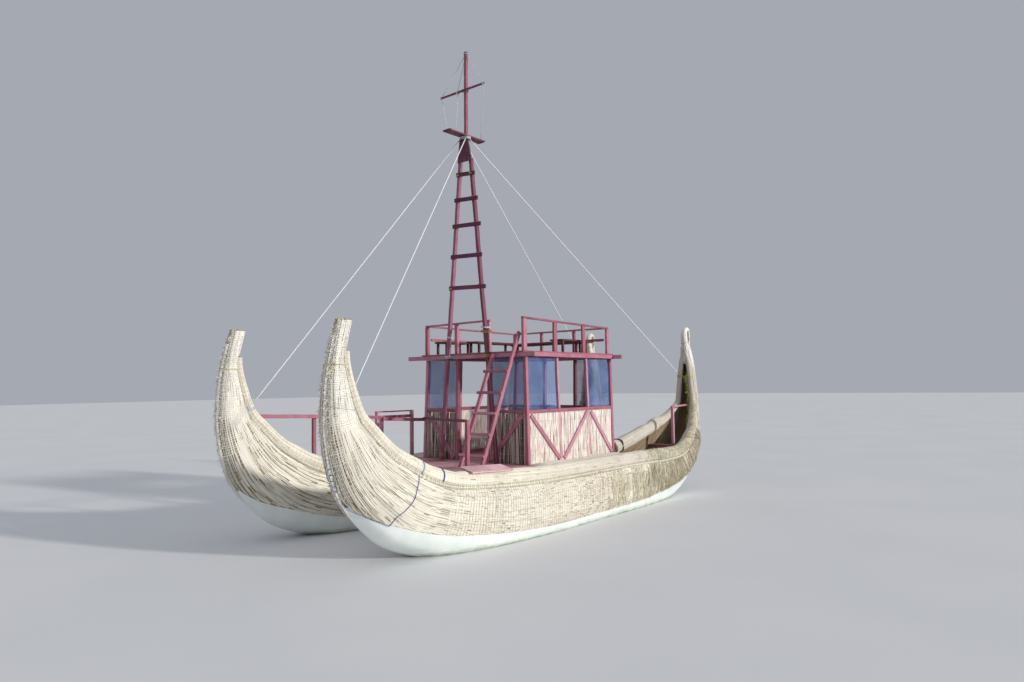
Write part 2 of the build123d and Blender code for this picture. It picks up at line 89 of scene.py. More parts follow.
def build(name, bag, mats, sharp=None):
    v = np.concatenate(bag.v)
    tone, wear, grain = np.concatenate(bag.tone), np.concatenate(bag.wear), np.concatenate(bag.grain)
    q = np.concatenate(bag.q) if bag.q else np.zeros((0, 4), int)
    t = np.concatenate(bag.t) if bag.t else np.zeros((0, 3), int)
    qm = np.concatenate(bag.qm) if bag.qm else np.zeros(0, int)
    tm = np.concatenate(bag.tm) if bag.tm else np.zeros(0, int)
    used = np.zeros(len(v), bool)
    used[q.ravel()] = True
    used[t.ravel()] = True
    new = np.cumsum(used) - 1
    v, tone, wear, grain = v[used], tone[used], wear[used], grain[used]
    q, t = new[q], new[t]
    me = bpy.data.meshes.new(name)
    me.vertices.add(len(v))
    me.vertices.foreach_set("co", v.astype(np.float32).ravel())
    me.loops.add(4 * len(q) + 3 * len(t))
    me.loops.foreach_set("vertex_index", np.concatenate([q.ravel(), t.ravel()]).astype(np.int32))
    me.polygons.add(len(q) + len(t))
    start = np.concatenate([4 * np.arange(len(q)), 4 * len(q) + 3 * np.arange(len(t))])
    me.polygons.foreach_set("loop_start", start.astype(np.int32))
    me.polygons.foreach_set("material_index", np.concatenate([qm, tm]).astype(np.int32))
    me.update(calc_edges=True)
    me.polygons.foreach_set("use_smooth", np.ones(len(q) + len(t), bool))
    for key, values in (("tone", tone), ("wear", wear)):
        me.attributes.new(key, "FLOAT", "POINT").data.foreach_set("value", values.astype(np.float32))
    me.attributes.new("grain", "FLOAT_VECTOR", "POINT").data.foreach_set("vector", grain.astype(np.float32).ravel())
    for m in mats:
        me.materials.append(m)
    if me.validate():
        print("mesh repaired:", name)
    if sharp:
        me.set_sharp_from_angle(angle=math.radians(sharp))
    ob = bpy.data.objects.new(name, me)
    bpy.context.scene.collection.objects.link(ob)
    TOTAL["tris"] += 2 * len(q) + len(t)
    SIZES[name] = int(2 * len(q) + len(t))
    return ob


def unit(a):
    return a / np.maximum(np.linalg.norm(a, axis=-1, keepdims=True), 1e-12)


def grid_faces(n, m, wrap=False, base=0):
    """Quads of an n by m grid of points, (i, j) at i*m + j, facing B x T where j runs along B and i along T."""
    i = np.arange(n - 1)[:, None]
    j = np.arange(m if wrap else m - 1)[None, :]
    j2 = (j + 1) % m
    return np.stack([i * m + j, i * m + j2, (i + 1) * m + j2, (i + 1) * m + j], -1).reshape(-1, 4) + base


OPEN = (-1.55, 0.0, 1.55)
RING5 = tuple(2 * math.pi * k / 5 for k in range(5))
RING6 = tuple(2 * math.pi * k / 6 for k in range(6))


def strands(bag, P, N, R, keep=None, tone=0.5, mat=0, arc=OPEN, wrap=False, flat=1.0, along=None, wear=0.0, caps=False):
    """Reeds or cords: P and N are (strands, points, 3) paths and outward directions, R the half widths, keep which
    spans are drawn. The section is an arc of points seen from outside, or a whole ring with wrap."""
    P, N = np.asarray(P, float), np.asarray(N, float)
    n, k, _ = P.shape
    R = np.broadcast_to(np.asarray(R, float), (n, k))
    T = unit(np.gradient(P, axis=1)) if k > 2 else unit(np.repeat(P[:, 1:] - P[:, :1], 2, 1))
    B = unit(np.cross(T, N))
    N = np.cross(B, T)
    th = np.asarray(arc, float)
    m = len(th)
    V = P[:, :, None] + R[:, :, None, None] * (flat * np.cos(th)[:, None] * N[:, :, None] + np.sin(th)[:, None] * B[:, :, None])
    if along is None:
        step = np.linalg.norm(np.diff(P, axis=1), axis=-1)
        along = np.concatenate([np.zeros((n, 1)), np.cumsum(step, 1)], 1)
    along = np.broadcast_to(along, (n, k))
    tone = np.broadcast_to(np.asarray(tone, float).reshape(-1, 1) if np.ndim(tone) == 1 else tone, (n, k))
    G = np.empty((n, k, m, 3))
    G[..., 0] = along[:, :, None]
    G[..., 1] = R[:, :, None] * th
    G[..., 2] = (np.arange(n)[:, None] * 7.31 % 97.0)[:, :, None]
    f = grid_faces(k, m, wrap)
    per = m if wrap else m - 1
    F = f[None] + (np.arange(n) * k * m)[:, None, None]
    F = F.reshape(n, k - 1, per, 4)
    if keep is not None:
        F = F[keep]
    tri = None
    if caps:
        first = (np.arange(n) * k * m)
        fan = np.array([[0, j + 1, j] for j in range(1, m - 1)])
        tri = np.concatenate([(fan[None] + first[:, None, None]).reshape(-1, 3),
                              (fan[None, :, ::-1] + (first + (k - 1) * m)[:, None, None]).reshape(-1, 3)])
    bag.add(V.reshape(-1, 3), F.reshape(-1, 4), tri, mat, np.repeat(tone.ravel(), m), G.reshape(-1, 3),
            np.repeat(np.broadcast_to(wear, (n, k)).ravel(), m))


def noise1(x, seed, octaves=3):
    """Smooth noise in -1..1 along x."""
    r = np.random.default_rng(abs(seed))
    y, a = 0, 1.0
    for o in range(octaves):
        y = y + a * np.sin(x * (1.0 + 0.37 * r.random()) * 2 ** o + r.random() * 6.283) \
            * np.cos(x * 0.61 * 2 ** o * (1 + 0.3 * r.random()) + r.random() * 6.283)
        a *= 0.55
    return y


def waves(n, x, amp, wl, r):
    """For n lanes, a slow sideways drift along x, as (n, len(x))."""
    ph = r.random((n, 3)) * 6.283
    k = 6.283 / (wl * (0.7 + 0.8 * r.random((n, 3))))
    w = sum(np.sin(x[None] * k[:, i:i + 1] + ph[:, i:i + 1]) for i in range(3)) / 3
    return amp * w


# ======================================================================================= materials

class Tree:
    def __init__(self, name):
        self.m = bpy.data.materials.new(name)
        self.m.use_nodes = True
        self.nt = self.m.node_tree
        self.nt.nodes.clear()
        self.out = self.nt.nodes.new("ShaderNodeOutputMaterial")
        self.b = self.nt.nodes.new("ShaderNodeBsdfPrincipled")
        self.nt.links.new(self.b.outputs[0], self.out.inputs[0])

    def put(self, sock, value):
        if isinstance(value, bpy.types.NodeSocket):
            self.nt.links.new(value, sock)
        else:
            sock.default_value = value

    def node(self, kind, ins=(), **props):
        n = self.nt.nodes.new(kind)
        for k, v in props.items():
            setattr(n, k, v)
        for k, v in dict(ins).items():
            self.put(n.inputs[k], v)
        return n

    def attr(self, name, vector=False):
        return self.node("ShaderNodeAttribute", attribute_name=name).outputs["Vector" if vector else "Fac"]

    def place(self):
        return self.node("ShaderNodeNewGeometry").outputs["Position"]

    def scaled(self, vec, s):
        return self.node("ShaderNodeVectorMath", {0: vec, 1: s}, operation="MULTIPLY").outputs[0]

    def noise(self, vec, scale, detail=3.0, rough=0.55, dist=0.0):
        return self.node("ShaderNodeTexNoise", {"Vector": vec, "Scale": scale, "Detail": detail, "Roughness": rough,
                                                "Distortion": dist}).outputs["Fac"]

    def ramp(self, fac, stops, ease="LINEAR"):
        n = self.node("ShaderNodeValToRGB", {"Fac": fac})
        n.color_ramp.interpolation = ease
        e = n.color_ramp.elements
        while len(e) < len(stops):
            e.new(0.5)
        for el, (p, c) in zip(e, stops):
            el.position = p
            el.color = (*c, 1) if len(c) == 3 else c
        return n.outputs[0]

    def span(self, v, a, b, c=0.0, d=1.0):
        return self.node("ShaderNodeMapRange", {0: v, 1: a, 2: b, 3: c, 4: d}).outputs[0]

    def math(self, op, a, b=0.0):
        return self.node("ShaderNodeMath", {0: a, 1: b}, operation=op).outputs[0]

    def mix(self, fac, a, b, kind="MIX"):
        n = self.node("ShaderNodeMix", data_type="RGBA", blend_type=kind)
        self.put(n.inputs[0], fac)
        for sock, val in ((n.inputs[6], a), (n.inputs[7], b)):
            self.put(sock, (*val, 1) if isinstance(val, tuple) and len(val) == 3 else val)
        return n.outputs[2]

    def bump(self, height, strength, dist, normal=None):
        ins = {"Height": height, "Strength": strength, "Distance": dist}
        if normal is not None:
            ins["Normal"] = normal
        return self.node("ShaderNodeBump", ins).outputs[0]

    def xyz(self, vec):
        return self.node("ShaderNodeSeparateXYZ", {0: vec}).outputs

    def set(self, **kw):
        for k, v in kw.items():
            s = self.b.inputs[k.replace("_", " ")]
            self.put(s, (*v, 1) if isinstance(v, tuple) and len(v) == 3 else v)


def srgb(r, g, b):
    """An 8-bit display colour as linear light."""
    def f(c):
        c /= 255
        return c / 12.92 if c <= 0.04045 else ((c + 0.055) / 1.055) ** 2.4
    return (f(r), f(g), f(b))


def grooves(t, x, start, end, period):
    """1 at each sewn cord and 0 between them, along x from start to end."""
    f = t.math("FRACT", t.math("MULTIPLY", t.math("SUBTRACT", x, start), 1.0 / period))
    d = t.math("ABSOLUTE", t.math("SUBTRACT", f, 0.5))
    g = t.span(d, 0.26, 0.5)
    on = t.math("MULTIPLY", t.span(x, start - 0.25, start + 0.25), t.span(x, end + 0.6, end - 0.4))
    return t.math("MULTIPLY", t.math("POWER", g, 1.8), on)


def reed_material(name, light, mid, dark, deep, green=0.35, dirt=0.6, fibre=0.0012, sewn=None, depth=0.5, stern=0.0,
                  old_from=-0.3, old_to=-2.5, old_dark=(92, 84, 66), old_light=(168, 158, 132)):
    t = Tree(name)
    grain, tone, pos = t.attr("grain", True), t.attr("tone"), t.place()
    streak = t.noise(t.scaled(grain, (7.0, 300.0, 3.0)), 1.0, 4.0, 0.6)
    blotch = t.noise(t.scaled(grain, (3.0, 14.0, 0.6)), 1.0, 3.0, 0.6)
    k = t.math("ADD", t.math("MULTIPLY", tone, 0.62), t.math("MULTIPLY", streak, 0.36))
    col = t.ramp(k, [(0.06, deep), (0.24, dark), (0.44, mid), (0.68, light)])
    col = t.mix(t.span(blotch, 0.55, 0.78, 0.0, 0.40), col, t.mix(0.5, mid, dark))
    big = t.noise(pos, 1.15, 4.0, 0.62)
    col = t.mix(t.span(big, 0.52, 0.72, 0.0, green), col, t.mix(0.5, mid, srgb(158, 156, 112)))
    grey = t.noise(pos, 2.7, 3.0, 0.6)
    col = t.mix(t.span(grey, 0.50, 0.72, 0.0, 0.35), col, srgb(184, 179, 168))
    pink = t.noise(pos, 0.8, 3.0, 0.6)
    col = t.mix(t.span(pink, 0.48, 0.66, 0.0, 0.20), col, srgb(208, 188, 172))
    x, _, z = t.xyz(pos)
    aft = t.math("ADD", x, t.math("MULTIPLY", t.noise(t.scaled(pos, (2.2, 2.2, 0.7)), 1.0, 4.0, 0.6), 2.4))
    old = t.span(aft, old_from, old_to, 0.0, stern)
    col = t.mix(old, col, t.mix(streak, srgb(*old_dark), srgb(*old_light)))
    rim = t.math("ADD", z, t.math("MULTIPLY", t.noise(pos, 5.0, 4.0, 0.65), 0.30))
    col = t.mix(t.span(rim, 0.90, 0.56, 0.0, dirt), col, srgb(128, 114, 84))
    fine = t.noise(t.scaled(grain, (16.0, 800.0, 5.0)), 1.0, 3.0, 0.6)
    n = t.bump(fine, 0.7, fibre)
    # Painted shade: along each sewn cord line the reed colour is darkened, by depth, as shade in the crease where the
    # cord pinches the reeds.
    if sewn:
        g = grooves(t, t.xyz(grain)[0], *sewn)
        col = t.mix(t.math("MULTIPLY", g, depth), col, tuple(0.42 * c for c in dark))
        n = t.bump(t.math("SUBTRACT", 1.0, g), 0.9, 0.006, n)
    t.set(Base_Color=col, Roughness=0.68, Normal=n)
    t.b.inputs["Specular IOR Level"].default_value = 0.25
    return t.m


def skin_material(name, light, dark, deep):
    """The reed mat under the outer strands."""
    t = Tree(name)
    grain, tone, pos = t.attr("grain", True), t.attr("tone"), t.place()
    lanes = t.noise(t.scaled(grain, (0.9, 85.0, 1.0)), 1.0, 3.0, 0.62)
    cut = t.noise(t.scaled(grain, (5.0, 52.0, 1.0)), 1.0, 4.0, 0.6)
    col = t.ramp(lanes, [(0.30, deep), (0.46, dark), (0.66, light)])
    col = t.mix(t.span(cut, 0.56, 0.70, 0.0, 0.7), col, deep)
    col = t.mix(t.span(t.noise(pos, 2.0, 3.0), 0.5, 0.7, 0.0, 0.35), col, srgb(120, 118, 78))
    col = t.mix(t.span(tone, 0.5, 0.0, 0.0, 0.8), col, deep)
    t.set(Base_Color=col, Roughness=0.8, Normal=t.bump(lanes, 1.0, 0.006))
    t.b.inputs["Specular IOR Level"].default_value = 0.2
    return t.m


def paint_material(name, fresh, faded, chalk, bare, wear=0.5, board=0.5):
    """Sawn timber under thin old paint: per-board tone, brushed streaks, chalky fading, bare worn arrises and cracks."""
    t = Tree(name)
    grain, tone, edge, pos = t.attr("grain", True), t.attr("tone"), t.attr("wear"), t.place()
    brush = t.noise(t.scaled(grain, (2.2, 62.0, 62.0)), 1.0, 4.0, 0.62)
    patch = t.noise(grain, 6.5, 4.0, 0.62)
    k = t.math("ADD", t.math("MULTIPLY", tone, board), t.math("MULTIPLY", patch, 1.0 - board))
    col = t.ramp(k, [(0.22, fresh), (0.52, faded), (0.80, chalk)])
    col = t.mix(t.span(brush, 0.42, 0.66, 0.0, 0.45), col, t.mix(0.55, fresh, chalk))
    crack = t.noise(t.scaled(grain, (1.4, 150.0, 150.0)), 1.0, 3.0, 0.7)
    col = t.mix(t.span(crack, 0.60, 0.70, 0.0, 0.55), col, srgb(70, 38, 36))
    flake = t.math("ADD", t.noise(t.scaled(grain, (9.0, 34.0, 34.0)), 1.0, 5.0, 0.68), t.math("MULTIPLY", edge, 0.22))
    flake = t.span(flake, 0.70 - 0.07 * wear, 0.75 - 0.06 * wear, 0.0, 1.0)
    ring = t.noise(t.scaled(grain, (3.0, 130.0, 130.0)), 1.0, 3.0, 0.6)
    wood = t.ramp(ring, [(0.3, tuple(0.55 * c for c in bare)), (0.6, bare)])
    col = t.mix(flake, col, wood)
    grime = t.noise(pos, 2.3, 4.0, 0.65)
    col = t.mix(t.span(grime, 0.55, 0.78, 0.0, 0.35), col, srgb(92, 66, 62))
    h = t.math("SUBTRACT", brush, t.math("MULTIPLY", flake, 0.6))
    n = t.bump(h, 0.7, 0.0016)
    n = t.bump(crack, 0.5, 0.0012, n)
    rough = t.span(flake, 0.0, 1.0, 0.58, 0.85)
    t.set(Base_Color=col, Roughness=rough, Normal=n)
    t.b.inputs["Specular IOR Level"].default_value = 0.35
    return t.m


def cord_material(name, a, b, twist=260.0):
    t = Tree(name)
    grain = t.attr("grain", True)
    lay = t.node("ShaderNodeTexWave", {"Vector": t.scaled(grain, (twist, twist * 1.1, 0.0)), "Scale": 1.0, "Distortion": 0.6},
                 bands_direction="DIAGONAL").outputs["Fac"]
    dirt = t.noise(t.place(), 14.0, 4.0, 0.6)
    col = t.mix(lay, b, a)
    col = t.mix(t.span(dirt, 0.5, 0.8, 0.0, 0.35), col, tuple(0.6 * c for c in b))
    t.set(Base_Color=col, Roughness=0.6, Normal=t.bump(lay, 0.8, 0.002))
    return t.m


M_STITCH = cord_material("stitch_cord", srgb(214, 206, 180), srgb(168, 158, 130))
M_KNOT = cord_material("knot_cord", srgb(222, 220, 120), srgb(176, 176, 78))
M_MAT_CORD = cord_material("mat_cord", srgb(220, 212, 194), srgb(176, 166, 144))
M_STAY = cord_material("stay_cord", srgb(246, 248, 250), srgb(224, 229, 236), 90.0)
M_WHITE = cord_material("white_cord", srgb(226, 229, 232), srgb(182, 190, 200))
M_BLUE = cord_material("blue_cord", srgb(82, 112, 196), srgb(42, 64, 140))
M_PALEBLUE = cord_material("pale_blue_cord", srgb(176, 192, 222), srgb(122, 142, 188))
M_YELLOW = cord_material("yellow_cord", srgb(216, 208, 96), srgb(150, 146, 58))
M_ORANGE = cord_material("orange_cord", srgb(226, 172, 96), srgb(168, 118, 60))
M_PAINTED = cord_material("painted_cord", srgb(146, 80, 98), srgb(104, 48, 64))
M_DARK = cord_material("dark_cord", srgb(74, 66, 58), srgb(34, 30, 28))

M_RED = paint_material("red_paint", srgb(139, 64, 82), srgb(173, 103, 123), srgb(201, 147, 167), srgb(150, 126, 118), 0.55)
# Mast paint, darker and more purple than the red paint: partly its own colour, partly painted shade for the legs' faces
# turned from the key light.
M_MAST_PAINT_AND_SHADE = paint_material("mast_paint_and_painted_shade", srgb(106, 44, 62), srgb(133, 69, 92), srgb(163, 106, 131), srgb(128, 106, 102), 0.4)
# Painted shade: a darker, more purple copy of the mast paint for the rungs, gusset and cross plank, whose front faces
# turn away from the key light.
M_MAST_SHADED = paint_material("masthead_painted_shade", srgb(74, 30, 46), srgb(104, 49, 72), srgb(138, 84, 106), srgb(104, 82, 80), 0.4)
M_BATTEN = paint_material("batten_paint", srgb(170, 108, 122), srgb(202, 150, 160), srgb(224, 188, 194), srgb(178, 158, 148), 0.5)
# Painted shade: a dark copy of the red paint for the roof benches and the barrier pole, which are seen on their shaded
# faces.
M_RED_SHADED = paint_material("red_paint_painted_shade", srgb(66, 26, 32), srgb(86, 40, 48), srgb(116, 64, 72), srgb(100, 80, 72), 0.5)
M_DECK = paint_material("deck_paint", srgb(154, 96, 104), srgb(192, 138, 144), srgb(214, 170, 174), srgb(148, 132, 120), 0.85)
M_STEP = paint_material("step_paint", srgb(182, 122, 132), srgb(218, 168, 176), srgb(236, 204, 208), srgb(176, 158, 146), 0.6)
M_RAW = paint_material("bare_board", srgb(86, 66, 56), srgb(120, 96, 82), srgb(150, 128, 112), srgb(110, 88, 74), 0.6)


def cane_material(name, deep, dark, mid, light, stained):
    t = Tree(name)
    grain, tone, pos = t.attr("grain", True), t.attr("tone"), t.place()
    streak = t.noise(t.scaled(grain, (5.0, 190.0, 3.0)), 1.0, 4.0, 0.6)
    k = t.math("ADD", t.math("MULTIPLY", tone, 0.65), t.math("MULTIPLY", streak, 0.32))
    col = t.ramp(k, [(0.05, deep), (0.18, dark), (0.36, mid), (0.62, light)])
    stain = t.noise(t.scaled(grain, (11.0, 40.0, 1.0)), 1.0, 2.0, 0.6)
    col = t.mix(t.span(stain, 0.64, 0.74, 0.0, 0.60), col, stained)
    wash = t.noise(pos, 2.6, 3.0, 0.6)
    col = t.mix(t.span(wash, 0.50, 0.70, 0.0, 0.35), col, t.mix(0.5, mid, srgb(222, 184, 178)))
    t.set(Base_Color=col, Roughness=0.62, Normal=t.bump(streak, 0.7, 0.0012))
    t.b.inputs["Specular IOR Level"].default_value = 0.3
    return t.m


M_CANE = cane_material("cane", srgb(100, 86, 74), srgb(190, 172, 160), srgb(228, 212, 202), srgb(240, 230, 221), srgb(140, 122, 110))
# Painted shade: a darker copy of the cane colours, used on the front walls, which face away from the key light.
M_CANE_SHADED = cane_material("cane_painted_shade", srgb(52, 45, 40), srgb(116, 103, 95), srgb(174, 160, 150), srgb(226, 213, 201), srgb(84, 72, 64))
# Painted shade: near-black canes set behind the front walls' gaps, standing in for the shaded inside of the cabin.
M_CANE_SHADE_BACKING = cane_material("cane_painted_shade_backing", srgb(30, 26, 23), srgb(50, 43, 38), srgb(74, 65, 58), srgb(96, 86, 77), srgb(40, 34, 30))


def float_material():
    """Pale moulded skin: faint long runs, chalk, scuffs, and a green and brown scum line near the water."""
    t = Tree("float_skin")
    pos, grain = t.place(), t.attr("grain", True)
    x, y, z = t.xyz(pos)
    runs = t.noise(t.scaled(pos, (5.0, 1.6, 0.9)), 1.0, 3.0, 0.5)
    col = t.mix(t.span(runs, 0.35, 0.70), srgb(226, 234, 229), srgb(238, 242, 239))
    cloud = t.noise(pos, 2.4, 5.0, 0.65)
    col = t.mix(t.span(cloud, 0.52, 0.76, 0.0, 0.30), col, srgb(196, 210, 202))
    scuff = t.noise(t.scaled(pos, (6.0, 6.0, 26.0)), 1.0, 5.0, 0.7)
    col = t.mix(t.span(scuff, 0.66, 0.74, 0.0, 0.5), col, srgb(126, 140, 128))
    line = t.math("ADD", z, t.math("MULTIPLY", t.noise(t.scaled(pos, (5.0, 5.0, 9.0)), 1.0, 4.0, 0.65), 0.11))
    col = t.mix(t.span(line, WATER + 0.150, WATER + 0.045, 0.0, 0.65), col, srgb(122, 132, 92))
    col = t.mix(t.span(line, WATER + 0.085, WATER + 0.03, 0.0, 0.75), col, srgb(62, 66, 44))
    t.set(Base_Color=col, Roughness=t.span(cloud, 0.3, 0.7, 0.26, 0.46), Normal=t.bump(cloud, 0.25, 0.01))
    t.b.inputs["Coat Weight"].default_value = 0.25
    t.b.inputs["Coat Roughness"].default_value = 0.2
    return t.m


M_FLOAT = float_material()


def film_material():
    """Thin clear plastic film, hazed and bluish, creased and dusty."""
    t = Tree("window_film")
    pos = t.place()
    haze = t.noise(t.scaled(pos, (3.0, 3.0, 2.2)), 1.0, 4.0, 0.6, 0.4)
    dust = t.noise(t.scaled(pos, (20.0, 20.0, 9.0)), 1.0, 5.0, 0.65)
    col = t.mix(t.span(haze, 0.35, 0.7), srgb(66, 96, 154), srgb(116, 143, 194))
    alpha = t.math("ADD", t.span(haze, 0.3, 0.75, 0.24, 0.46), t.span(dust, 0.55, 0.8, 0.0, 0.12))
    t.set(Base_Color=col, Roughness=0.16, Alpha=alpha, Normal=t.bump(haze, 0.5, 0.02))
    t.b.inputs["Specular IOR Level"].default_value = 0.6
    return t.m


M_FILM = film_material()

t = Tree("moss")
mn = t.noise(t.place(), 26.0, 4.0, 0.65)
t.set(Base_Color=t.ramp(mn, [(0.3, srgb(84, 92, 44)), (0.50, srgb(156, 162, 82)), (0.72, srgb(222, 224, 150))]),
      Roughness=0.85, Normal=t.bump(mn, 0.8, 0.01))
M_MOSS = t.m

t = Tree("nail_heads")
nn = t.noise(t.place(), 60.0, 3.0, 0.6)
t.set(Base_Color=t.ramp(nn, [(0.35, srgb(62, 44, 38)), (0.7, srgb(128, 96, 84))]), Roughness=0.6, Normal=t.bump(nn, 0.6, 0.001))
t.b.inputs["Metallic"].default_value = 0.6
M_NAIL = t.m

# ======================================================================================= the hulls' surface
# The stations of the hulls. Columns, mm and degrees: x and z of the keel line, slope of the station's plane, distance
# along it of the outboard and inboard gunwales, widest and bilge half breadth, roll centre and radius, float's top edge,
# half width of the keel flat.
ROWS = np.array([
    (5170, 3440, 180, 210, 210, 100, 92, 0, 0, 0, 0),
    (5280, 3000, 178, 212, 212, 115, 106, 66, 55, 0, 0),
    (5370, 2500, 176, 352, 352, 172, 158, 116, 72, 0, 0),
    (5390, 2050, 168, 488, 488, 215, 195, 158, 85, 0, 0),
    (5340, 1600, 155, 700, 700, 270, 240, 200, 95, 0, 0),
    (5200, 1120, 145, 900, 900, 350, 305, 255, 105, 0, 0),
    (5060, 880, 138, 975, 975, 395, 335, 280, 112, 32, 8),
    (4870, 650, 131, 1050, 1050, 435, 370, 305, 120, 100, 15),
    (4400, 260, 118, 1140, 1140, 505, 440, 345, 126, 300, 35),
    (3740, 0, 107, 1170, 1170, 560, 500, 385, 132, 370, 60),
    (2950, -220, 98, 1290, 1290, 600, 555, 415, 138, 475, 90),
    (2000, -370, 92, 1385, 1385, 625, 590, 430, 140, 540, 110),
    (900, -400, 90, 1387, 1387, 622, 600, 430, 140, 537, 120),
    (-500, -400, 90, 1392, 1392, 605, 530, 430, 140, 547, 120),
    (-1850, -400, 90, 1400, 1400, 588, 480, 428, 140, 572, 120),
    (-2400, -350, 88, 1345, 1490, 575, 455, 425, 140, 560, 110),
    (-3300, -180, 80, 1180, 1480, 555, 430, 410, 138, 487, 80),
    (-4150, 100, 65, 1000, 1450, 515, 395, 380, 130, 410, 45),
    (-4750, 520, 48, 830, 1330, 450, 360, 330, 120, 225, 20),
    (-4970, 780, 43, 740, 1190, 415, 345, 305, 115, 45, 8),
    (-5120, 1000, 38, 660, 1060, 375, 320, 278, 100, 0, 0),
    (-5290, 1500, 28, 520, 760, 262, 228, 208, 76, 0, 0),
    (-5360, 2000, 14, 450, 450, 204, 180, 184, 60, 0, 0),
    (-5330, 2500, 4, 400, 400, 170, 150, 142, 54, 0, 0),
    (-5240, 3000, -2, 300, 300, 135, 122, 88, 50, 0, 0),
    (-5140, 3400, -4, 250, 250, 92, 84, 0, 46, 0, 0)], float)
NAMES = ("x", "z", "deg", "out", "inn", "half", "low", "grip", "roll", "band", "keel")
NU = len(ROWS)
UNDER_DECK = 0.955
CLEAR = 0.0015


def pchip(y):
    d = np.diff(y)
    m = np.empty_like(y)
    m[0], m[-1] = d[0], d[-1]
    p = d[:-1] * d[1:]
    m[1:-1] = np.where(p > 0, 2 * p / np.where(np.abs(d[:-1] + d[1:]) < 1e-12, 1, d[:-1] + d[1:]), 0)
    return m


TAB, SLOPE = {}, {}
for i, c in enumerate(NAMES):
    TAB[c] = ROWS[:, i] * (1.0 if c == "deg" else 0.001)
    SLOPE[c] = pchip(TAB[c])
TAB["deg"] = np.radians(TAB["deg"])
SLOPE["deg"] = pchip(TAB["deg"])


def station(u):
    u = np.clip(np.asarray(u, float), 0, NU - 1 - 1e-9)
    i = u.astype(int)
    t = u - i
    h00, h10, h01, h11 = 2 * t ** 3 - 3 * t ** 2 + 1, t ** 3 - 2 * t ** 2 + t, -2 * t ** 3 + 3 * t ** 2, t ** 3 - t ** 2
    return {c: h00 * TAB[c][i] + h10 * SLOPE[c][i] + h01 * TAB[c][i + 1] + h11 * SLOPE[c][i + 1] for c in NAMES}


def smooth(x, a, b):
    t = np.clip((x - a) / (b - a), 0, 1)
    return t * t * (3 - 2 * t)


def top_of(S, u, side, full=False):
    """Distance along the station plane of the top edge of a side's mat, and the half breadth there."""
    w = smooth(u, 0.93, 1.0) * (1 - smooth(u, 24.0, 24.1))
    L = S["out"] if side > 0 else S["inn"]
    top = L - w * 0.86 * S["roll"]
    if side < 0 and not full:
        cut = (UNDER_DECK - S["z"]) / np.sin(np.maximum(S["deg"], 0.3))
        mid = smooth(u, 10.15, 10.4) * (1 - smooth(u, 14.7, 14.95))
        top = top * (1 - mid) + cut * mid
    return top, (S["grip"] + 0.8 * S["roll"]) * w + 0.62 * S["half"] * (1 - w)


def breadth(S, s, top, top_y):
    L = S["out"]
    X = np.stack([0 * L, .12 * L, .30 * L, .55 * L, .80 * L, np.maximum(top, .81 * L)], -1)
    Y = np.stack([S["keel"], .70 * S["low"], S["low"], S["half"], .985 * S["half"], top_y], -1)
    h, D = np.diff(X), np.diff(Y)
    d = D / h
    p = d[..., :-1] * d[..., 1:]
    mid = np.where(p > 0, 2 * p / np.where(np.abs(d[..., :-1] + d[..., 1:]) < 1e-9, 1, d[..., :-1] + d[..., 1:]), 0)
    m = np.concatenate([d[..., :1] * 1.25, mid, d[..., -1:]], -1)
    i = np.clip((s[..., None] >= X[..., 1:-1]).sum(-1), 0, 4)
    g = lambda a, j: np.take_along_axis(a, j[..., None], -1)[..., 0]
    x0, y0, y1, hh, m0, m1 = g(X, i), g(Y, i), g(Y, i + 1), g(h, i), g(m, i), g(m, i + 1)
    t = np.clip((s - x0) / hh, 0, 1)
    return ((2 * t ** 3 - 3 * t ** 2 + 1) * y0 + (t ** 3 - 2 * t ** 2 + t) * hh * m0
            + (-2 * t ** 3 + 3 * t ** 2) * y1 + (t ** 3 - t ** 2) * hh * m1)


def raw_surf(u, s, hull, side, full=False):
    S = station(u)
    top, ty = top_of(S, u, side, full)
    b = breadth(S, s, top, ty)
    return np.stack([S["x"] + s * np.cos(S["deg"]) + SHIFT, hull * (HULL_Y + side * b),
                     S["z"] + s * np.sin(S["deg"]) + DRAFT], -1)


def surf(u, s, hull, side, full=False):
    """Points and outward directions of a side of a hull at station u and distance s from the keel."""
    u, s = np.broadcast_arrays(np.asarray(u, float), np.asarray(s, float))
    P = raw_surf(u, s, hull, side, full)
    e = 0.02
    du = raw_surf(np.minimum(u + e, NU - 1.001), s, hull, side, full) - raw_surf(np.maximum(u - e, 0), s, hull, side, full)
    ds = raw_surf(u, s + 0.004, hull, side, full) - raw_surf(u, np.maximum(s - 0.004, 0), hull, side, full)
    return P, unit(np.cross(du, ds)) * hull * side


# Arc length along the hull, from the bow tip to the stern tip, against the station number.
_u = np.linspace(0, NU - 1, 2501)
_S = station(_u)
_mid = np.stack([_S["x"] + 0.6 * _S["out"] * np.cos(_S["deg"]), _S["z"] + 0.6 * _S["out"] * np.sin(_S["deg"])], -1)
_a = np.concatenate([[0], np.cumsum(np.linalg.norm(np.diff(_mid, axis=0), axis=1))])
ARC = _a[-1]
u_at = lambda a: np.interp(a, _a, _u)
a_at = lambda u: np.interp(u, _u, _a)
_x = _S["x"]
a_of_x = lambda x: float(np.interp(-x, -_x[300:2300], _a[300:2300]))

MAT_BOW, MAT_STERN = a_of_x(3.80), a_of_x(-1.30)      # where the sewn mat begins and ends
CORD_STEP = 0.060


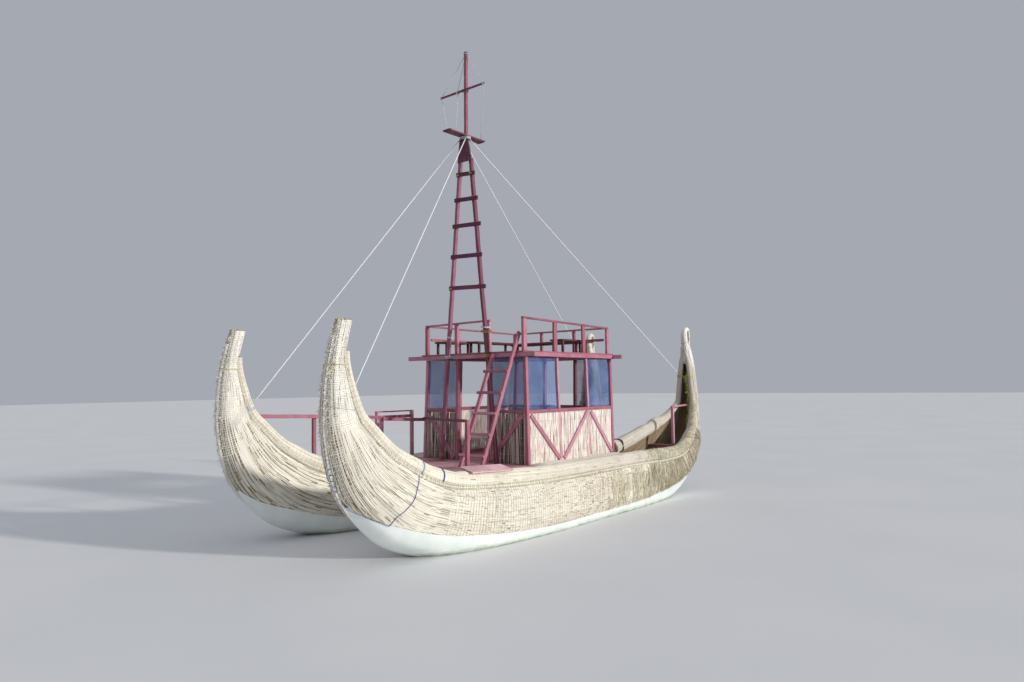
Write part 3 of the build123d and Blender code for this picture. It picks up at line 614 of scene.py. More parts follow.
CREAM, STRAW, TAN, DEEP = srgb(236, 231, 218), srgb(218, 211, 195), srgb(178, 167, 142), srgb(98, 86, 64)
M_SIDE = reed_material("reed_side", CREAM, STRAW, TAN, DEEP, 0.14, 0.35, sewn=(MAT_BOW, MAT_STERN, CORD_STEP), depth=0.26, stern=0.34)
M_BOW = reed_material("reed_column", srgb(245, 242, 233), srgb(235, 230, 218), srgb(214, 206, 186), srgb(162, 151, 126), 0.10, 0.24,
                      sewn=(-1.0, 99.0, 0.031), depth=0.34)
M_ROLL = reed_material("reed_roll", srgb(238, 232, 217), srgb(221, 214, 196), srgb(190, 179, 154), srgb(134, 121, 97), 0.14, 0.0,
                       sewn=(-1.0, 99.0, 0.074), depth=0.05, stern=0.62,
                       old_from=3.4, old_to=-0.6, old_dark=(166, 157, 148), old_light=(214, 206, 198))
M_TUFT = reed_material("reed_tuft", srgb(222, 215, 192), srgb(184, 175, 146), srgb(124, 115, 88), srgb(56, 50, 36), 0.30, 0.30, stern=0.40)
M_SHAG = reed_material("reed_shag", srgb(230, 226, 204), srgb(206, 201, 172), srgb(160, 154, 120), srgb(92, 86, 58), 0.45, 0.0, stern=0.10)
M_END = reed_material("reed_ends", srgb(222, 212, 184), srgb(178, 162, 130), srgb(116, 98, 70), srgb(48, 39, 28), 0.1, 0.0)
# Painted shade: the mat under the strands is coloured darker than them, with near-black patches, so the gaps between
# strands read as shaded.
M_SKIN_SHADED = skin_material("reed_under_painted_shade", srgb(198, 188, 162), srgb(146, 134, 106), srgb(66, 56, 40))
M_CORE = skin_material("reed_core", srgb(232, 226, 210), srgb(208, 200, 180), srgb(160, 149, 124))
M_IN = skin_material("reed_inside", srgb(184, 164, 136), srgb(132, 112, 88), srgb(58, 47, 36))
M_SEAM = reed_material("reed_seam", srgb(234, 229, 212), srgb(219, 212, 192), srgb(194, 185, 160), srgb(146, 135, 108), 0.2, 0.0)


def folds(a, v, seed):
    """Buckled folds of the mat towards the stern, as a push along the outward direction."""
    r = np.random.default_rng(seed)
    f = np.zeros(np.broadcast(a, v).shape)
    a0, a1 = a_of_x(0.15), a_of_x(-5.12)
    n = 46
    for i, c in enumerate(a0 + (a1 - a0) * ((np.arange(n) + r.random(n) * 0.7) / n)):
        grow = smooth(c, a0 - 0.1, a0 + 1.2)
        w, h, lean = 0.028 + 0.026 * r.random(), (0.005 + 0.020 * r.random()) * (0.35 + 0.65 * grow), -0.22 + 0.22 * r.random()
        v0, v1 = 0.28 + 0.25 * r.random(), 0.84 + 0.3 * r.random()
        p = c + lean * (v - 0.65) + 0.015 * np.sin(v * 9 + r.random() * 6)
        f += h * np.exp(-((a - p) / w) ** 2) * smooth(v, v0 - 0.15, v0 + 0.1) * (1 - smooth(v, v1 - 0.1, v1 + 0.12))
    return f


def lump(a, v, seed):
    r = np.random.default_rng(abs(seed))
    f = 0
    for _ in range(7):
        f = f + np.sin(a * (0.9 + 3.2 * r.random()) + v * (3 + 9 * r.random()) + 6.28 * r.random())
    return f / 7


def side_shape(u, s, hull, side, seed, full=False):
    """The side's surface with its lumps and folds."""
    P, N = surf(u, s, hull, side, full)
    S = station(u)
    a, v = a_at(u), s / (S["out"] if side > 0 else S["inn"])
    push = 0.006 * lump(a, v, seed)
    mat = smooth(a, MAT_BOW - 0.3, MAT_BOW + 0.6) * (1 - smooth(a, MAT_STERN - 0.4, MAT_STERN + 0.6))
    lean = a + 0.10 * v
    push = push + 0.0024 * mat * np.sin(lean * 31 + 2.2 * np.sin(a * 3.7 + hull)) * (0.5 + 0.5 * np.sin(a * 5.3 + 3.0 * v))
    if side > 0:
        push = push + folds(a, v, seed + 5)
    return P + N * np.asarray(push)[..., None], N


def lay_reeds(bag, hull, side, pitch, fine, coarse, seed, part, tail_step=0.11):
    """The lengthwise reeds of one side. part picks the stretch: 'side', 'bow' or 'stern' of the hull."""
    r = np.random.default_rng(seed)
    lo, hi = {"side": (a_at(2.4), a_at(24.3)), "bow": (0.0, a_at(3.6)), "stern": (a_at(23.6), ARC)}[part]
    g0 = np.arange(lo, min(hi, MAT_BOW), coarse)
    g1 = np.arange(MAT_BOW, MAT_STERN, fine) if part == "side" else np.zeros(0)
    g2 = np.arange(max(lo, MAT_STERN), hi + 1e-6, tail_step) if part != "bow" else np.zeros(0)
    a = np.concatenate([g0[:-1] if len(g1) else g0, g1, g2])
    Lmax = 1.39 if side > 0 else 1.49
    n = int(Lmax / pitch)
    v0 = (np.arange(n) + 0.5) / n
    U = np.broadcast_to(u_at(a), (n, len(a)))
    S = station(U)
    L = S["out"] if side > 0 else S["inn"]
    top, _ = top_of(S, U, side)
    low = np.where(S["band"] > 0.003, S["band"] + 0.004, 0.006)
    v = v0[:, None] + waves(n, a, 0.30 / n, 0.9, r)
    s = v * L
    inside = (s > low + 0.002) & (s < top - 0.003)
    near = (s > low - 0.03) & (s < top + 0.03)
    s = np.clip(s, low + 0.003, top - 0.004)
    A = np.broadcast_to(a, s.shape)
    mat = smooth(A, MAT_BOW - 0.25, MAT_BOW + 0.25) * (1 - smooth(A, MAT_STERN - 0.3, MAT_STERN + 0.5))
    P, N = side_shape(U, s, hull, side, seed=40 + int(hull))
    dens = np.clip(L / Lmax * 1.12, 0, 1)
    # Each lane is a row of single reeds, end to end, and lanes drop out where the side narrows.
    cut = np.zeros((n, len(a)), bool)
    tone = np.empty((n, len(a)))
    shift = np.empty((n, len(a)))
    for k in range(n):
        p = lo - r.random() * 1.2
        j = 0
        while p < hi:
            q = p + 0.35 + 1.1 * r.random()
            i0, i1 = np.searchsorted(a, (p, q))
            if i1 > i0:
                t = 0.50 + 0.42 * r.random()
                if r.random() < (0.13 if part == "side" else 0.05):
                    t = 0.16 + 0.30 * r.random()
                tone[k, i0:i1] = t
                shift[k, i0:i1] = r.random()
                cut[k, i1 - 1] = True
                if (k * GOLD + 0.37 + j * 0.31) % 1.0 > dens[k, i0:i1].mean():
                    cut[k, i0:i1] = True
            p = q
            j += 1
    lift = 0.0026 + 0.0036 * shift + waves(n, a, 0.0012, 0.5, r)
    at_cord = np.abs(((A - MAT_BOW) / CORD_STEP + 0.5) % 1.0 - 0.5) < 0.2
    lift = lift - mat * np.where(at_cord, 0.0010, 0.0)
    R = 0.66 * L / n / np.maximum(dens, 0.2) * (0.86 + 0.3 * shift)
    R = np.clip(R * (1.0 if part == "side" else 1.22), 0.0036, 0.0100)
    # Where column and side meet, each reed stops at its own place, so that the two lap.
    q = r.random((n, 1))
    from_a, to_a = {"side": (a_at(3.0) - 0.28 * q, a_at(24.05) + 0.1 * q), "bow": (-1.0 + 0 * q, a_at(3.0) + 0.28 * q),
                    "stern": (a_at(24.0) - 0.12 * q, ARC - 0.02 - 0.22 * q)}[part]
    inside &= (A >= from_a) & (A <= to_a)
    # Short missing lengths between two cords leave dark slots.
    ladder = np.exp(-((A - a_of_x(0.02)) / 0.28) ** 2)
    worn = smooth(A, a_of_x(0.6), a_of_x(-1.2))
    slots = r.random(s.shape) < (0.010 + 0.16 * ladder + 0.05 * worn) * mat * (0.4 + 1.2 * r.random((n, 1)))
    keep = (inside[:, :-1] | inside[:, 1:]) & near[:, :-1] & near[:, 1:] & ~cut[:, :-1] & ~slots[:, :-1]
    ends = cut.copy()
    ends[:, 1:] |= cut[:, :-1]
    R = np.where(ends, R * 0.75, R)
    P = P + N * lift[..., None]
    strands(bag, P, N, R, keep, tone, 0, OPEN, False, 0.8, np.broadcast_to(a, s.shape))


def sew_cords(bag, hull, side, where, seed, mat, radius=0.0026, lift=0.0090, tone_lo=0.3, fade=False):
    """Cords sewn across the reeds at the given arc lengths."""
    r = np.random.default_rng(abs(seed))
    where = np.asarray(where)
    n, k = len(where), 26
    f = np.linspace(0, 1, k)
    a = where[:, None] + waves(n, f * 1.3, 0.011 if fade else 0.006, 0.7, r) + (0.008 if fade else 0.004) * r.standard_normal((n, 1))
    U = u_at(np.clip(a, 0, ARC - 1e-3))
    S = station(U)
    top, _ = top_of(S, U, side)
    low = np.where(S["band"] > 0.003, S["band"] + 0.004, 0.012)
    s = low + (top - low) * f[None]
    P, N = side_shape(U, s, hull, side, seed=40 + int(hull))
    gone = (0.16 if fade else 0.06) + (0.75 * (1 - smooth(where, MAT_BOW - 0.1, MAT_BOW + 0.9)) + 0.2 * (noise1(where * 5, seed) > 0.4) if fade else 0)
    keep = r.random((n, k - 1)) > np.reshape(gone, (-1, 1))
    strands(bag, P + N * lift, N, radius, keep, tone_lo + (0.9 - tone_lo) * r.random(n), mat, OPEN, False, 0.8)


def skin_shell(bag, hull, side, mat_out, mat_in, u0=2.95, u1=24.0, n=190, m=30):
    """The mat itself: a closed shell, a little inside the reeds that lie on it, ribbed on its inner face."""
    a = np.linspace(a_at(u0), a_at(u1), n)
    U = np.broadcast_to(u_at(a)[:, None], (n, m))
    S = station(U)
    top, _ = top_of(S, U, side)
    low = np.where(S["band"] > 0.003, S["band"] + CLEAR, 0.002)
    f = np.linspace(0, 1, m)[None]
    s = low + (top - low) * f
    P, N = side_shape(U, s, hull, side, seed=40 + int(hull))
    P = P - N * 0.001
    Q0 = P - N * 0.055
    inner_y = hull * side * (Q0[..., 1] - hull * HULL_Y)
    Q = Q0.copy()
    Q[..., 1] = np.where(inner_y < 0.008, hull * (HULL_Y + side * 0.008), Q0[..., 1])
    rib = 0.005 * np.where(np.arange(m) % 2 == 0, 1, -1)[None, :, None]
    Q = Q + N * rib
    A = np.broadcast_to(a[:, None], (n, m))
    G = np.stack([A, s, np.zeros_like(s)], -1)
    f1 = grid_faces(n, m)
    if hull * side > 0:
        f1 = f1[:, ::-1]
    base = n * m
    f2 = f1[:, ::-1] + base
    rim = []
    idx = np.arange(n * m).reshape(n, m)
    for line in (idx[:, 0], idx[:, -1][::-1], idx[0][::-1], idx[-1]):
        rim.append(np.stack([line[:-1], line[1:], line[1:] + base, line[:-1] + base], -1))
    rim = np.concatenate(rim)
    if hull * side < 0:
        rim = rim[:, ::-1]
    V = np.concatenate([P.reshape(-1, 3), Q.reshape(-1, 3)])
    GG = np.concatenate([G.reshape(-1, 3), G.reshape(-1, 3)])
    tone = np.concatenate([np.full(base, 0.5), np.full(base, 0.5)])
    bag.add(V, f1, None, mat_out, tone, GG)
    # the inner face and rim share those vertices
    bag.q.append(f2 + bag.n - 2 * base)
    bag.qm.append(np.full(len(f2), mat_in))
    bag.q.append(rim + bag.n - 2 * base)
    bag.qm.append(np.full(len(rim), mat_in))


# ======================================================================================= bundles

def tube(bag, C, R, up, lanes, mat, seed, base_mat=None, lift=0.0, twist=0.0, width=0.62, gap=0.05, squash=1.0, base_tone=0.5,
         flat=0.8, dark=0.08, spread=0.0):
    """A bundle of reeds along a path: C (k,3) centres, R (k,) radii, up (k,3) a direction to measure angles from."""
    r = np.random.default_rng(abs(seed))
    C, R = np.asarray(C, float), np.asarray(R, float)
    k = len(C)
    T = unit(np.gradient(C, axis=0))
    X = unit(up - (up * T).sum(-1, keepdims=True) * T)
    Y = np.cross(T, X)
    along = np.concatenate([[0], np.cumsum(np.linalg.norm(np.diff(C, axis=0), axis=1))])
    m = 20
    th = 2 * math.pi * np.arange(m) / m
    ring = C[:, None] + (R * 0.985 - 0.002)[:, None, None] * (np.cos(th)[:, None] * X[:, None] + squash * np.sin(th)[:, None] * Y[:, None])
    f = grid_faces(k, m, True)
    G = np.stack([np.broadcast_to(along[:, None], (k, m)), R[:, None] * th[None], np.zeros((k, m))], -1)
    fan = np.array([[0, j + 1, j] for j in range(1, m - 1)])
    bag.add(ring.reshape(-1, 3), f[:, ::-1], np.concatenate([fan[:, ::-1], fan + (k - 1) * m]), mat if base_mat is None else base_mat,
            base_tone, G.reshape(-1, 3))
    ph = 2 * math.pi * (np.arange(lanes) + 0.35 * r.standard_normal(lanes)) / lanes
    A = ph[:, None] + twist * along[None] + waves(lanes, along, 0.9 / lanes, 0.8, r)
    N = np.cos(A)[..., None] * X[None] + squash * np.sin(A)[..., None] * Y[None]
    N = unit(N)
    P = C[None] + R[None, :, None] * (np.cos(A)[..., None] * X[None] + squash * np.sin(A)[..., None] * Y[None])
    tone, shift, cut = np.full((lanes, k), 0.5), np.full((lanes, k), 0.5), np.zeros((lanes, k), bool)
    for i in range(lanes):
        p = -r.random()
        while p < along[-1] + 0.01:
            q = p + 0.6 + 1.6 * r.random()
            i0, i1 = np.searchsorted(along, (p, q))
            if i1 > i0:
                tone[i, i0:i1] = 0.16 + 0.3 * r.random() if r.random() < dark else 0.50 - spread + (0.42 + spread) * r.random()
                shift[i, i0:i1] = r.random()
                if r.random() < 0.25:
                    cut[i, i1 - 1] = True
                if r.random() < gap:
                    cut[i, i0:i1] = True
            p = q
    w = width * 2 * math.pi * R[None] / lanes * (0.85 + 0.35 * shift)
    P = P + N * (lift + 0.0026 * shift + waves(lanes, along, 0.0010, 0.5, r))[..., None]
    strands(bag, P, N, w, ~cut[:, :-1], tone, mat, OPEN, False, flat, np.broadcast_to(along, (lanes, k)))
    return T, X, Y, along


def cut_end(bag, centre, axis, up, radius, count, mat, seed, depth=0.03, rough=0.012, squash=1.0, size=None):
    """The sawn or chopped end of a bundle: many short reed ends, standing out unevenly."""
    r = np.random.default_rng(abs(seed))
    axis, up = unit(np.asarray(axis, float)), np.asarray(up, float)
    X = unit(up - (up @ axis) * axis)
    Y = np.cross(axis, X)
    i = np.arange(count)
    rad = radius * np.sqrt((i + 0.5) / count)
    th = i * 2.399963 + 0.15 * r.standard_normal(count)
    C = np.asarray(centre) + (rad * np.cos(th))[:, None] * X + squash * (rad * np.sin(th))[:, None] * Y
    size = size or radius * 0.92 / math.sqrt(count)
    h = rough * r.standard_normal(count)
    tip = C + axis * h[:, None] + 0.25 * size * r.standard_normal((count, 3))
    P = np.stack([C - axis * depth, tip], 1)
    N = np.broadcast_to(X, P.shape)
    strands(bag, P, N, size * (0.85 + 0.3 * r.random((count, 1))), None, r.random(count), mat, RING6, True, 1.0, caps=True)


def whiskers(bag, P0, D, length, radius, mat, seed, sway=0.25, droop=0.0, k=4, arc=(-1.6, 0.0, 1.6), tone=None):
    """Loose single reeds from the points P0 along the directions D."""
    r = np.random.default_rng(abs(seed))
    n = len(P0)
    length = np.broadcast_to(length, (n,))
    t = np.linspace(0, 1, k)[None, :, None]
    side = unit(np.cross(D, r.standard_normal((n, 3))))
    P = P0[:, None] + D[:, None] * t * length[:, None, None] + side[:, None] * (sway * t ** 2 * length[:, None, None] * r.standard_normal((n, 1, 1)))
    P[..., 2] -= droop * (t[..., 0] ** 2) * length[:, None]
    N = np.broadcast_to(unit(np.cross(D, side))[:, None], P.shape)
    R = radius * (1 - 0.6 * np.linspace(0, 1, k) ** 2)[None] * (0.7 + 0.6 * r.random((n, 1)))
    strands(bag, P, N, R, None, r.random(n) if tone is None else tone, mat, arc, False, 1.0)


def curve_points(pts, step):
    """A smooth path through a few points."""
    pts = np.asarray(pts, float)
    if len(pts) == 2:
        n = max(2, int(np.linalg.norm(pts[1] - pts[0]) / step) + 1)
        return pts[0] + (pts[1] - pts[0]) * np.linspace(0, 1, n)[:, None]
    P = np.vstack([2 * pts[0] - pts[1], pts, 2 * pts[-1] - pts[-2]])
    out = []
    for i in range(1, len(P) - 2):
        p0, p1, p2, p3 = P[i - 1:i + 3]
        n = max(2, int(np.linalg.norm(p2 - p1) / step))
        t = np.linspace(0, 1, n, endpoint=False)[:, None]
        out.append(0.5 * (2 * p1 + (p2 - p0) * t + (2 * p0 - 5 * p1 + 4 * p2 - p3) * t ** 2 + (3 * p1 - p0 - 3 * p2 + p3) * t ** 3))
    out.append(pts[-1:])
    return np.vstack(out)


def rope(bag, pts, radius, mat, step=None, lobes=0, twist=0.0, sides=6, tone=0.5, raw=False):
    """A round or laid rope along a path of a few points."""
    C = np.asarray(pts, float) if raw else curve_points(pts, step or max(radius * 3, 0.006))
    k = len(C)
    T = unit(np.gradient(C, axis=0))
    ref = np.array([0.0, 0, 1]) if abs(T[0, 2]) < 0.9 else np.array([1.0, 0, 0])
    X = [unit(ref - (ref @ T[0]) * T[0])]
    for i in range(1, k):
        x = X[-1] - (X[-1] @ T[i]) * T[i]
        X.append(unit(x))
    X = np.array(X)
    Y = np.cross(T, X)
    along = np.concatenate([[0], np.cumsum(np.linalg.norm(np.diff(C, axis=0), axis=1))])
    m = sides if not lobes else 9
    th = 2 * math.pi * np.arange(m) / m
    A = th[None] + np.zeros((k, 1))
    rad = radius * np.ones((k, m))
    if lobes:
        rad = radius * (0.86 + 0.14 * np.cos(lobes * (th[None] - twist * along[:, None])))
    V = C[:, None] + rad[..., None] * (np.cos(A)[..., None] * X[:, None] + np.sin(A)[..., None] * Y[:, None])
    G = np.stack([np.broadcast_to(along[:, None], (k, m)), radius * A, np.zeros((k, m))], -1)
    f = grid_faces(k, m, True)[:, ::-1]
    fan = np.array([[0, j + 1, j] for j in range(1, m - 1)])
    bag.add(V.reshape(-1, 3), f, np.concatenate([fan[:, ::-1], fan + (k - 1) * m]), mat, tone, G.reshape(-1, 3))


def coil(bag, centre, axis, up, rx, ry, turns, radius, mat, pitch=None, seed=0, per=22, wob=0.12):
    """A lashing: turns of cord around something of half sizes rx and ry, along axis."""
    r = np.random.default_rng(abs(seed))
    axis, up = unit(np.asarray(axis, float)), np.asarray(up, float)
    X = unit(up - (up @ axis) * axis)
    Y = np.cross(axis, X)
    pitch = pitch or radius * 2.05
    n = int(turns * per) + 1
    t = np.linspace(0, turns, n)
    th = 2 * math.pi * t
    p = 4.0
    c, s = np.cos(th), np.sin(th)
    k = (np.abs(c) ** p + np.abs(s) ** p) ** (-1 / p)
    wobble = radius * wob * 4 * np.sin(th * 0.37 + r.random() * 6)
    C = (np.asarray(centre) + (rx * k * c)[:, None] * X + (ry * k * s)[:, None] * Y
         + axis * ((t - turns / 2) * pitch + wobble)[:, None])
    rope(bag, C, radius, mat, raw=True, sides=5)


# ======================================================================================= hull pieces

def roll_frame(U, side):
    """Centre line of a gunwale roll, with the direction away from the keel and the radius."""
    S = station(U)
    return S, (S["out"] if side > 0 else S["inn"])


def roll_path(a0, a1, hull, side, step=0.11, ds=0.0):
    n = max(4, int(abs(a1 - a0) / step) + 1)
    a = np.linspace(a0, a1, n)
    U = u_at(a)
    S, s0 = roll_frame(U, side)
    s = s0 + ds
    C = np.stack([S["x"] + s * np.cos(S["deg"]) + SHIFT, hull * (HULL_Y + side * S["grip"]), S["z"] + s * np.sin(S["deg"]) + DRAFT], -1)
    up = np.stack([np.cos(S["deg"]), 0 * s, np.sin(S["deg"])], -1)
    return a, U, C, up, S["roll"]


def around_roll(a, hull, side, ds, dy):
    """A point beside the gunwale roll, ds up and dy outward from its centre, in roll radii."""
    U = u_at(a)
    S = station(U)
    s = (S["out"] if side > 0 else S["inn"]) + ds * S["roll"]
    return np.stack([S["x"] + s * np.cos(S["deg"]) + SHIFT, hull * (HULL_Y + side * (S["grip"] + dy * S["roll"])),
                     S["z"] + s * np.sin(S["deg"]) + DRAFT], -1)


def stitch_seam(bag, hull, side, a0, a1, seed, mat_cord, mat_rope, mat_skin, step=0.046):
    """The thin bundle in the groove under the roll, and the loops of cord that sew mat and roll to it."""
    r = np.random.default_rng(seed)
    a = np.linspace(a0, a1, max(4, int((a1 - a0) / 0.12)))
    C = around_roll(a, hull, side, -0.76, 0.84)
    up = around_roll(a, hull, side, -0.76, 1.2) - C
    rad = 0.125 * station(u_at(a))["roll"]
    tube(bag, C, rad, up, 9, mat_rope, seed, mat_skin, gap=0.02, width=0.7)
    a = np.arange(a0 + 0.03, a1 - 0.03, step)
    a = a + 0.15 * step * r.standard_normal(len(a))
    way = np.array([(-1.16, 0.835), (-1.00, 0.865), (-0.88, 0.975), (-0.76, 1.00), (-0.62, 0.925), (-0.44, 0.925)])
    lean = 0.018 * np.where(r.random(len(a)) < 0.5, 1, -1)
    P = np.stack([around_roll(a + lean * (i / 5 - 0.5), hull, side, ds, dy + 0.035) for i, (ds, dy) in enumerate(way)], 1)
    N = unit(np.stack([around_roll(a, hull, side, ds, dy + 1.0) - around_roll(a, hull, side, ds, dy) for ds, dy in way], 1))
    strands(bag, P, N, 0.0040, None, 0.3 + 0.5 * r.random(len(a)), mat_cord, (-1.6, -0.5, 0.5, 1.6), False, 1.0)


PIECES = []


def place(name, bag, mats, nodes=(), sharp=None):
    ob = build(name, bag, mats, sharp)
    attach(ob, "root")
    if nodes:
        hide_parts(*nodes)
    PIECES.append(ob)
    return ob


def hair(bag, hull, seed, n, mat):
    """Loose reeds hanging down over the folded mat, thin at first and thick at the stern."""
    r = np.random.default_rng(seed)
    a0, a1 = a_of_x(-0.55), a_of_x(-5.2)
    aa = a0 + (a1 - a0) * r.random(n) ** 0.62
    f0 = 1 - 0.97 * r.random(n) ** 1.25
    k = 5
    ln = 0.14 + 0.30 * r.random(n) + 0.12 * smooth(aa, a_of_x(-2.6), a_of_x(-3.2))
    lean = -0.16 + 0.16 * r.standard_normal(n)
    f = np.linspace(0, 1, k)[None]
    A = aa[:, None] + (lean * ln)[:, None] * f + 0.010 * np.sin(f * 4 + r.random((n, 1)) * 6)
    U = u_at(np.clip(A, 0, ARC - 0.2))
    S = station(U)
    top, _ = top_of(S, U, 1)
    low = np.where(S["band"] > 0.003, S["band"] + 0.004, 0.02)
    s = low + (top - low) * f0[:, None] - ln[:, None] * f
    keep = (s[:, :-1] > low[:, :-1] - 0.005) & (s[:, 1:] > low[:, 1:] - 0.005)
    P, N = side_shape(U, np.maximum(s, 0.004), hull, 1, seed=40 + int(hull))
    P = P + N * (0.008 + 0.008 * r.random((n, 1)) + 0.020 * f ** 3 * r.random((n, 1)))[..., None]
    dark = smooth(aa, a_of_x(-1.4), a_of_x(-3.2))
    tone = np.clip(0.92 - 0.40 * r.random(n) - 0.45 * dark * r.random(n) - 0.50 * (r.random(n) < 0.16 + 0.22 * dark), 0, 1)
    strands(bag, P, N, 0.0050 * (1 - 0.5 * f) * (0.6 + 0.7 * r.random((n, 1))), keep, tone, mat, (-1.5, 0, 1.5))


def stem_bead(bag, hull, u0, u1, radius, out, lanes, seed, fade, mat, skin, cord, cord_step):
    """A bead of reeds down the stem or up the stern edge, wound with cord."""
    a = np.linspace(a_at(u0), a_at(u1), max(8, int(abs(a_at(u1) - a_at(u0)) / 0.07)))
    U = u_at(a)
    S = station(U)
    C = np.stack([S["x"] + out * np.cos(S["deg"]) + SHIFT, np.full(len(a), hull * HULL_Y), S["z"] + out * np.sin(S["deg"]) + DRAFT], -1)
    way = -np.stack([np.cos(S["deg"]), 0 * a, np.sin(S["deg"])], -1)
    R = radius * fade(U)
    tube(bag, C, R, way, lanes, mat, seed, skin, gap=0.10)
    r = np.random.default_rng(seed + 1)
    w = np.arange(a[0] + 0.02, a[-1] - 0.02, cord_step)
    w = w + 0.2 * cord_step * r.standard_normal(len(w))
    th = np.linspace(-2.0, 2.0, 9)
    Uw = u_at(w)
    Sw = station(Uw)
    Cw = np.stack([np.interp(w, a, C[:, i]) for i in range(3)], -1)
    Ww = -np.stack([np.cos(Sw["deg"]), 0 * w, np.sin(Sw["deg"])], -1)
    Rw = np.interp(w, a, R) + 0.007
    Y = np.array([0, 1.0, 0])
    N = np.cos(th)[None, :, None] * Ww[:, None] + np.sin(th)[None, :, None] * Y
    P = Cw[:, None] + Rw[:, None, None] * N
    strands(bag, P, N, 0.0028, r.random((len(w), 8)) > 0.05, 0.4 + 0.5 * r.random(len(w)), cord, OPEN, False, 0.9)


def make_side(label, hull, side):
    which = "outboard" if side > 0 else "inboard"
    bag = Bag()
    skin_shell(bag, hull, side, 1, 2, n=150 if side > 0 else 110, m=22)
    seed = 100 + 10 * int(hull) + int(side)
    if side > 0:
        lay_reeds(bag, hull, side, 0.0078, 0.060, 0.090, seed, "side", 0.15)
    else:
        lay_reeds(bag, hull, side, 0.0125, 0.120, 0.120, seed, "side", 0.13)
    sew_cords(bag, hull, side, np.arange(MAT_BOW, MAT_STERN, CORD_STEP * (1 if side > 0 else 2)), seed + 1, 3, fade=True)
    sew_cords(bag, hull, side, np.arange(a_at(3.05), a_at(4.3), 0.031), seed + 2, 6, 0.0040, 0.0112, 0.50)
    sew_cords(bag, hull, side, np.arange(a_at(4.3), a_at(5.6), 0.052), seed + 6, 6, 0.0028, 0.0098, 0.40)
    stitch_seam(bag, hull, side, a_at(3.2), a_at(9.75) if side < 0 else a_of_x(-4.6), seed + 3, 4, 7, 1)
    if side < 0:
        stitch_seam(bag, hull, side, a_at(15.2), a_at(21.5), seed + 4, 4, 7, 1)
    if side > 0:
        hair(bag, hull, seed + 9, 2500, 5)
        stem_bead(bag, hull, 0.5, 7.3, 0.034, 0.020, 15, seed + 21, lambda U: 1 - 0.75 * smooth(U, 6.2, 7.3), 6, 1, 6, 0.034)
        stem_bead(bag, hull, 18.7, 24.4, 0.030, 0.018, 14, seed + 23, lambda U: 1 - 0.6 * smooth(-U, -19.4, -18.7), 6, 1, 6, 0.05)
        scruff(bag, hull, seed + 25)
    mats = [M_SIDE, M_SKIN_SHADED, M_IN, M_MAT_CORD, M_STITCH, M_TUFT, M_BOW, M_SEAM]
    place(f"{label}_{which}_reeds", bag, mats, [f"{label}_{which}_reed_side"])


def scruff(bag, hull, seed):
    """Cut reed ends that stick out of the stem and stern edges."""
    r = np.random.default_rng(abs(seed))
    for a0, a1, n in ((a_at(0.15), a_at(5.5), 620), (a_at(20.0), a_at(24.3), 320)):
        a = a0 + (a1 - a0) * r.random(n)
        U = u_at(a)
        side = np.where(r.random(n) < 0.5, 1, -1)
        s = 0.003 + 0.045 * r.random(n) ** 1.6
        P1, N1 = surf(U, s, hull, 1)
        P2, N2 = surf(U, s, hull, -1)
        P = np.where(side[:, None] > 0, P1, P2)
        N = np.where(side[:, None] > 0, N1, N2)
        S = station(U)
        down = unit(np.stack([np.gradient(_x, _a)[np.clip((U * 100).astype(int), 0, 2500)], 0 * a,
                              np.gradient(_S["z"], _a)[np.clip((U * 100).astype(int), 0, 2500)]], -1))
        front = -np.stack([np.cos(S["deg"]), 0 * a, np.sin(S["deg"])], -1)
        D = unit(N * 0.5 + front * 0.7 + down * (0.9 * np.where(a0 > 6, -1, 1)) + 0.35 * r.standard_normal((n, 3)))
        whiskers(bag, P + N * 0.004, D, 0.022 + 0.045 * r.random(n), 0.0042, 6, seed + 1, 0.15, 0.0, 3)


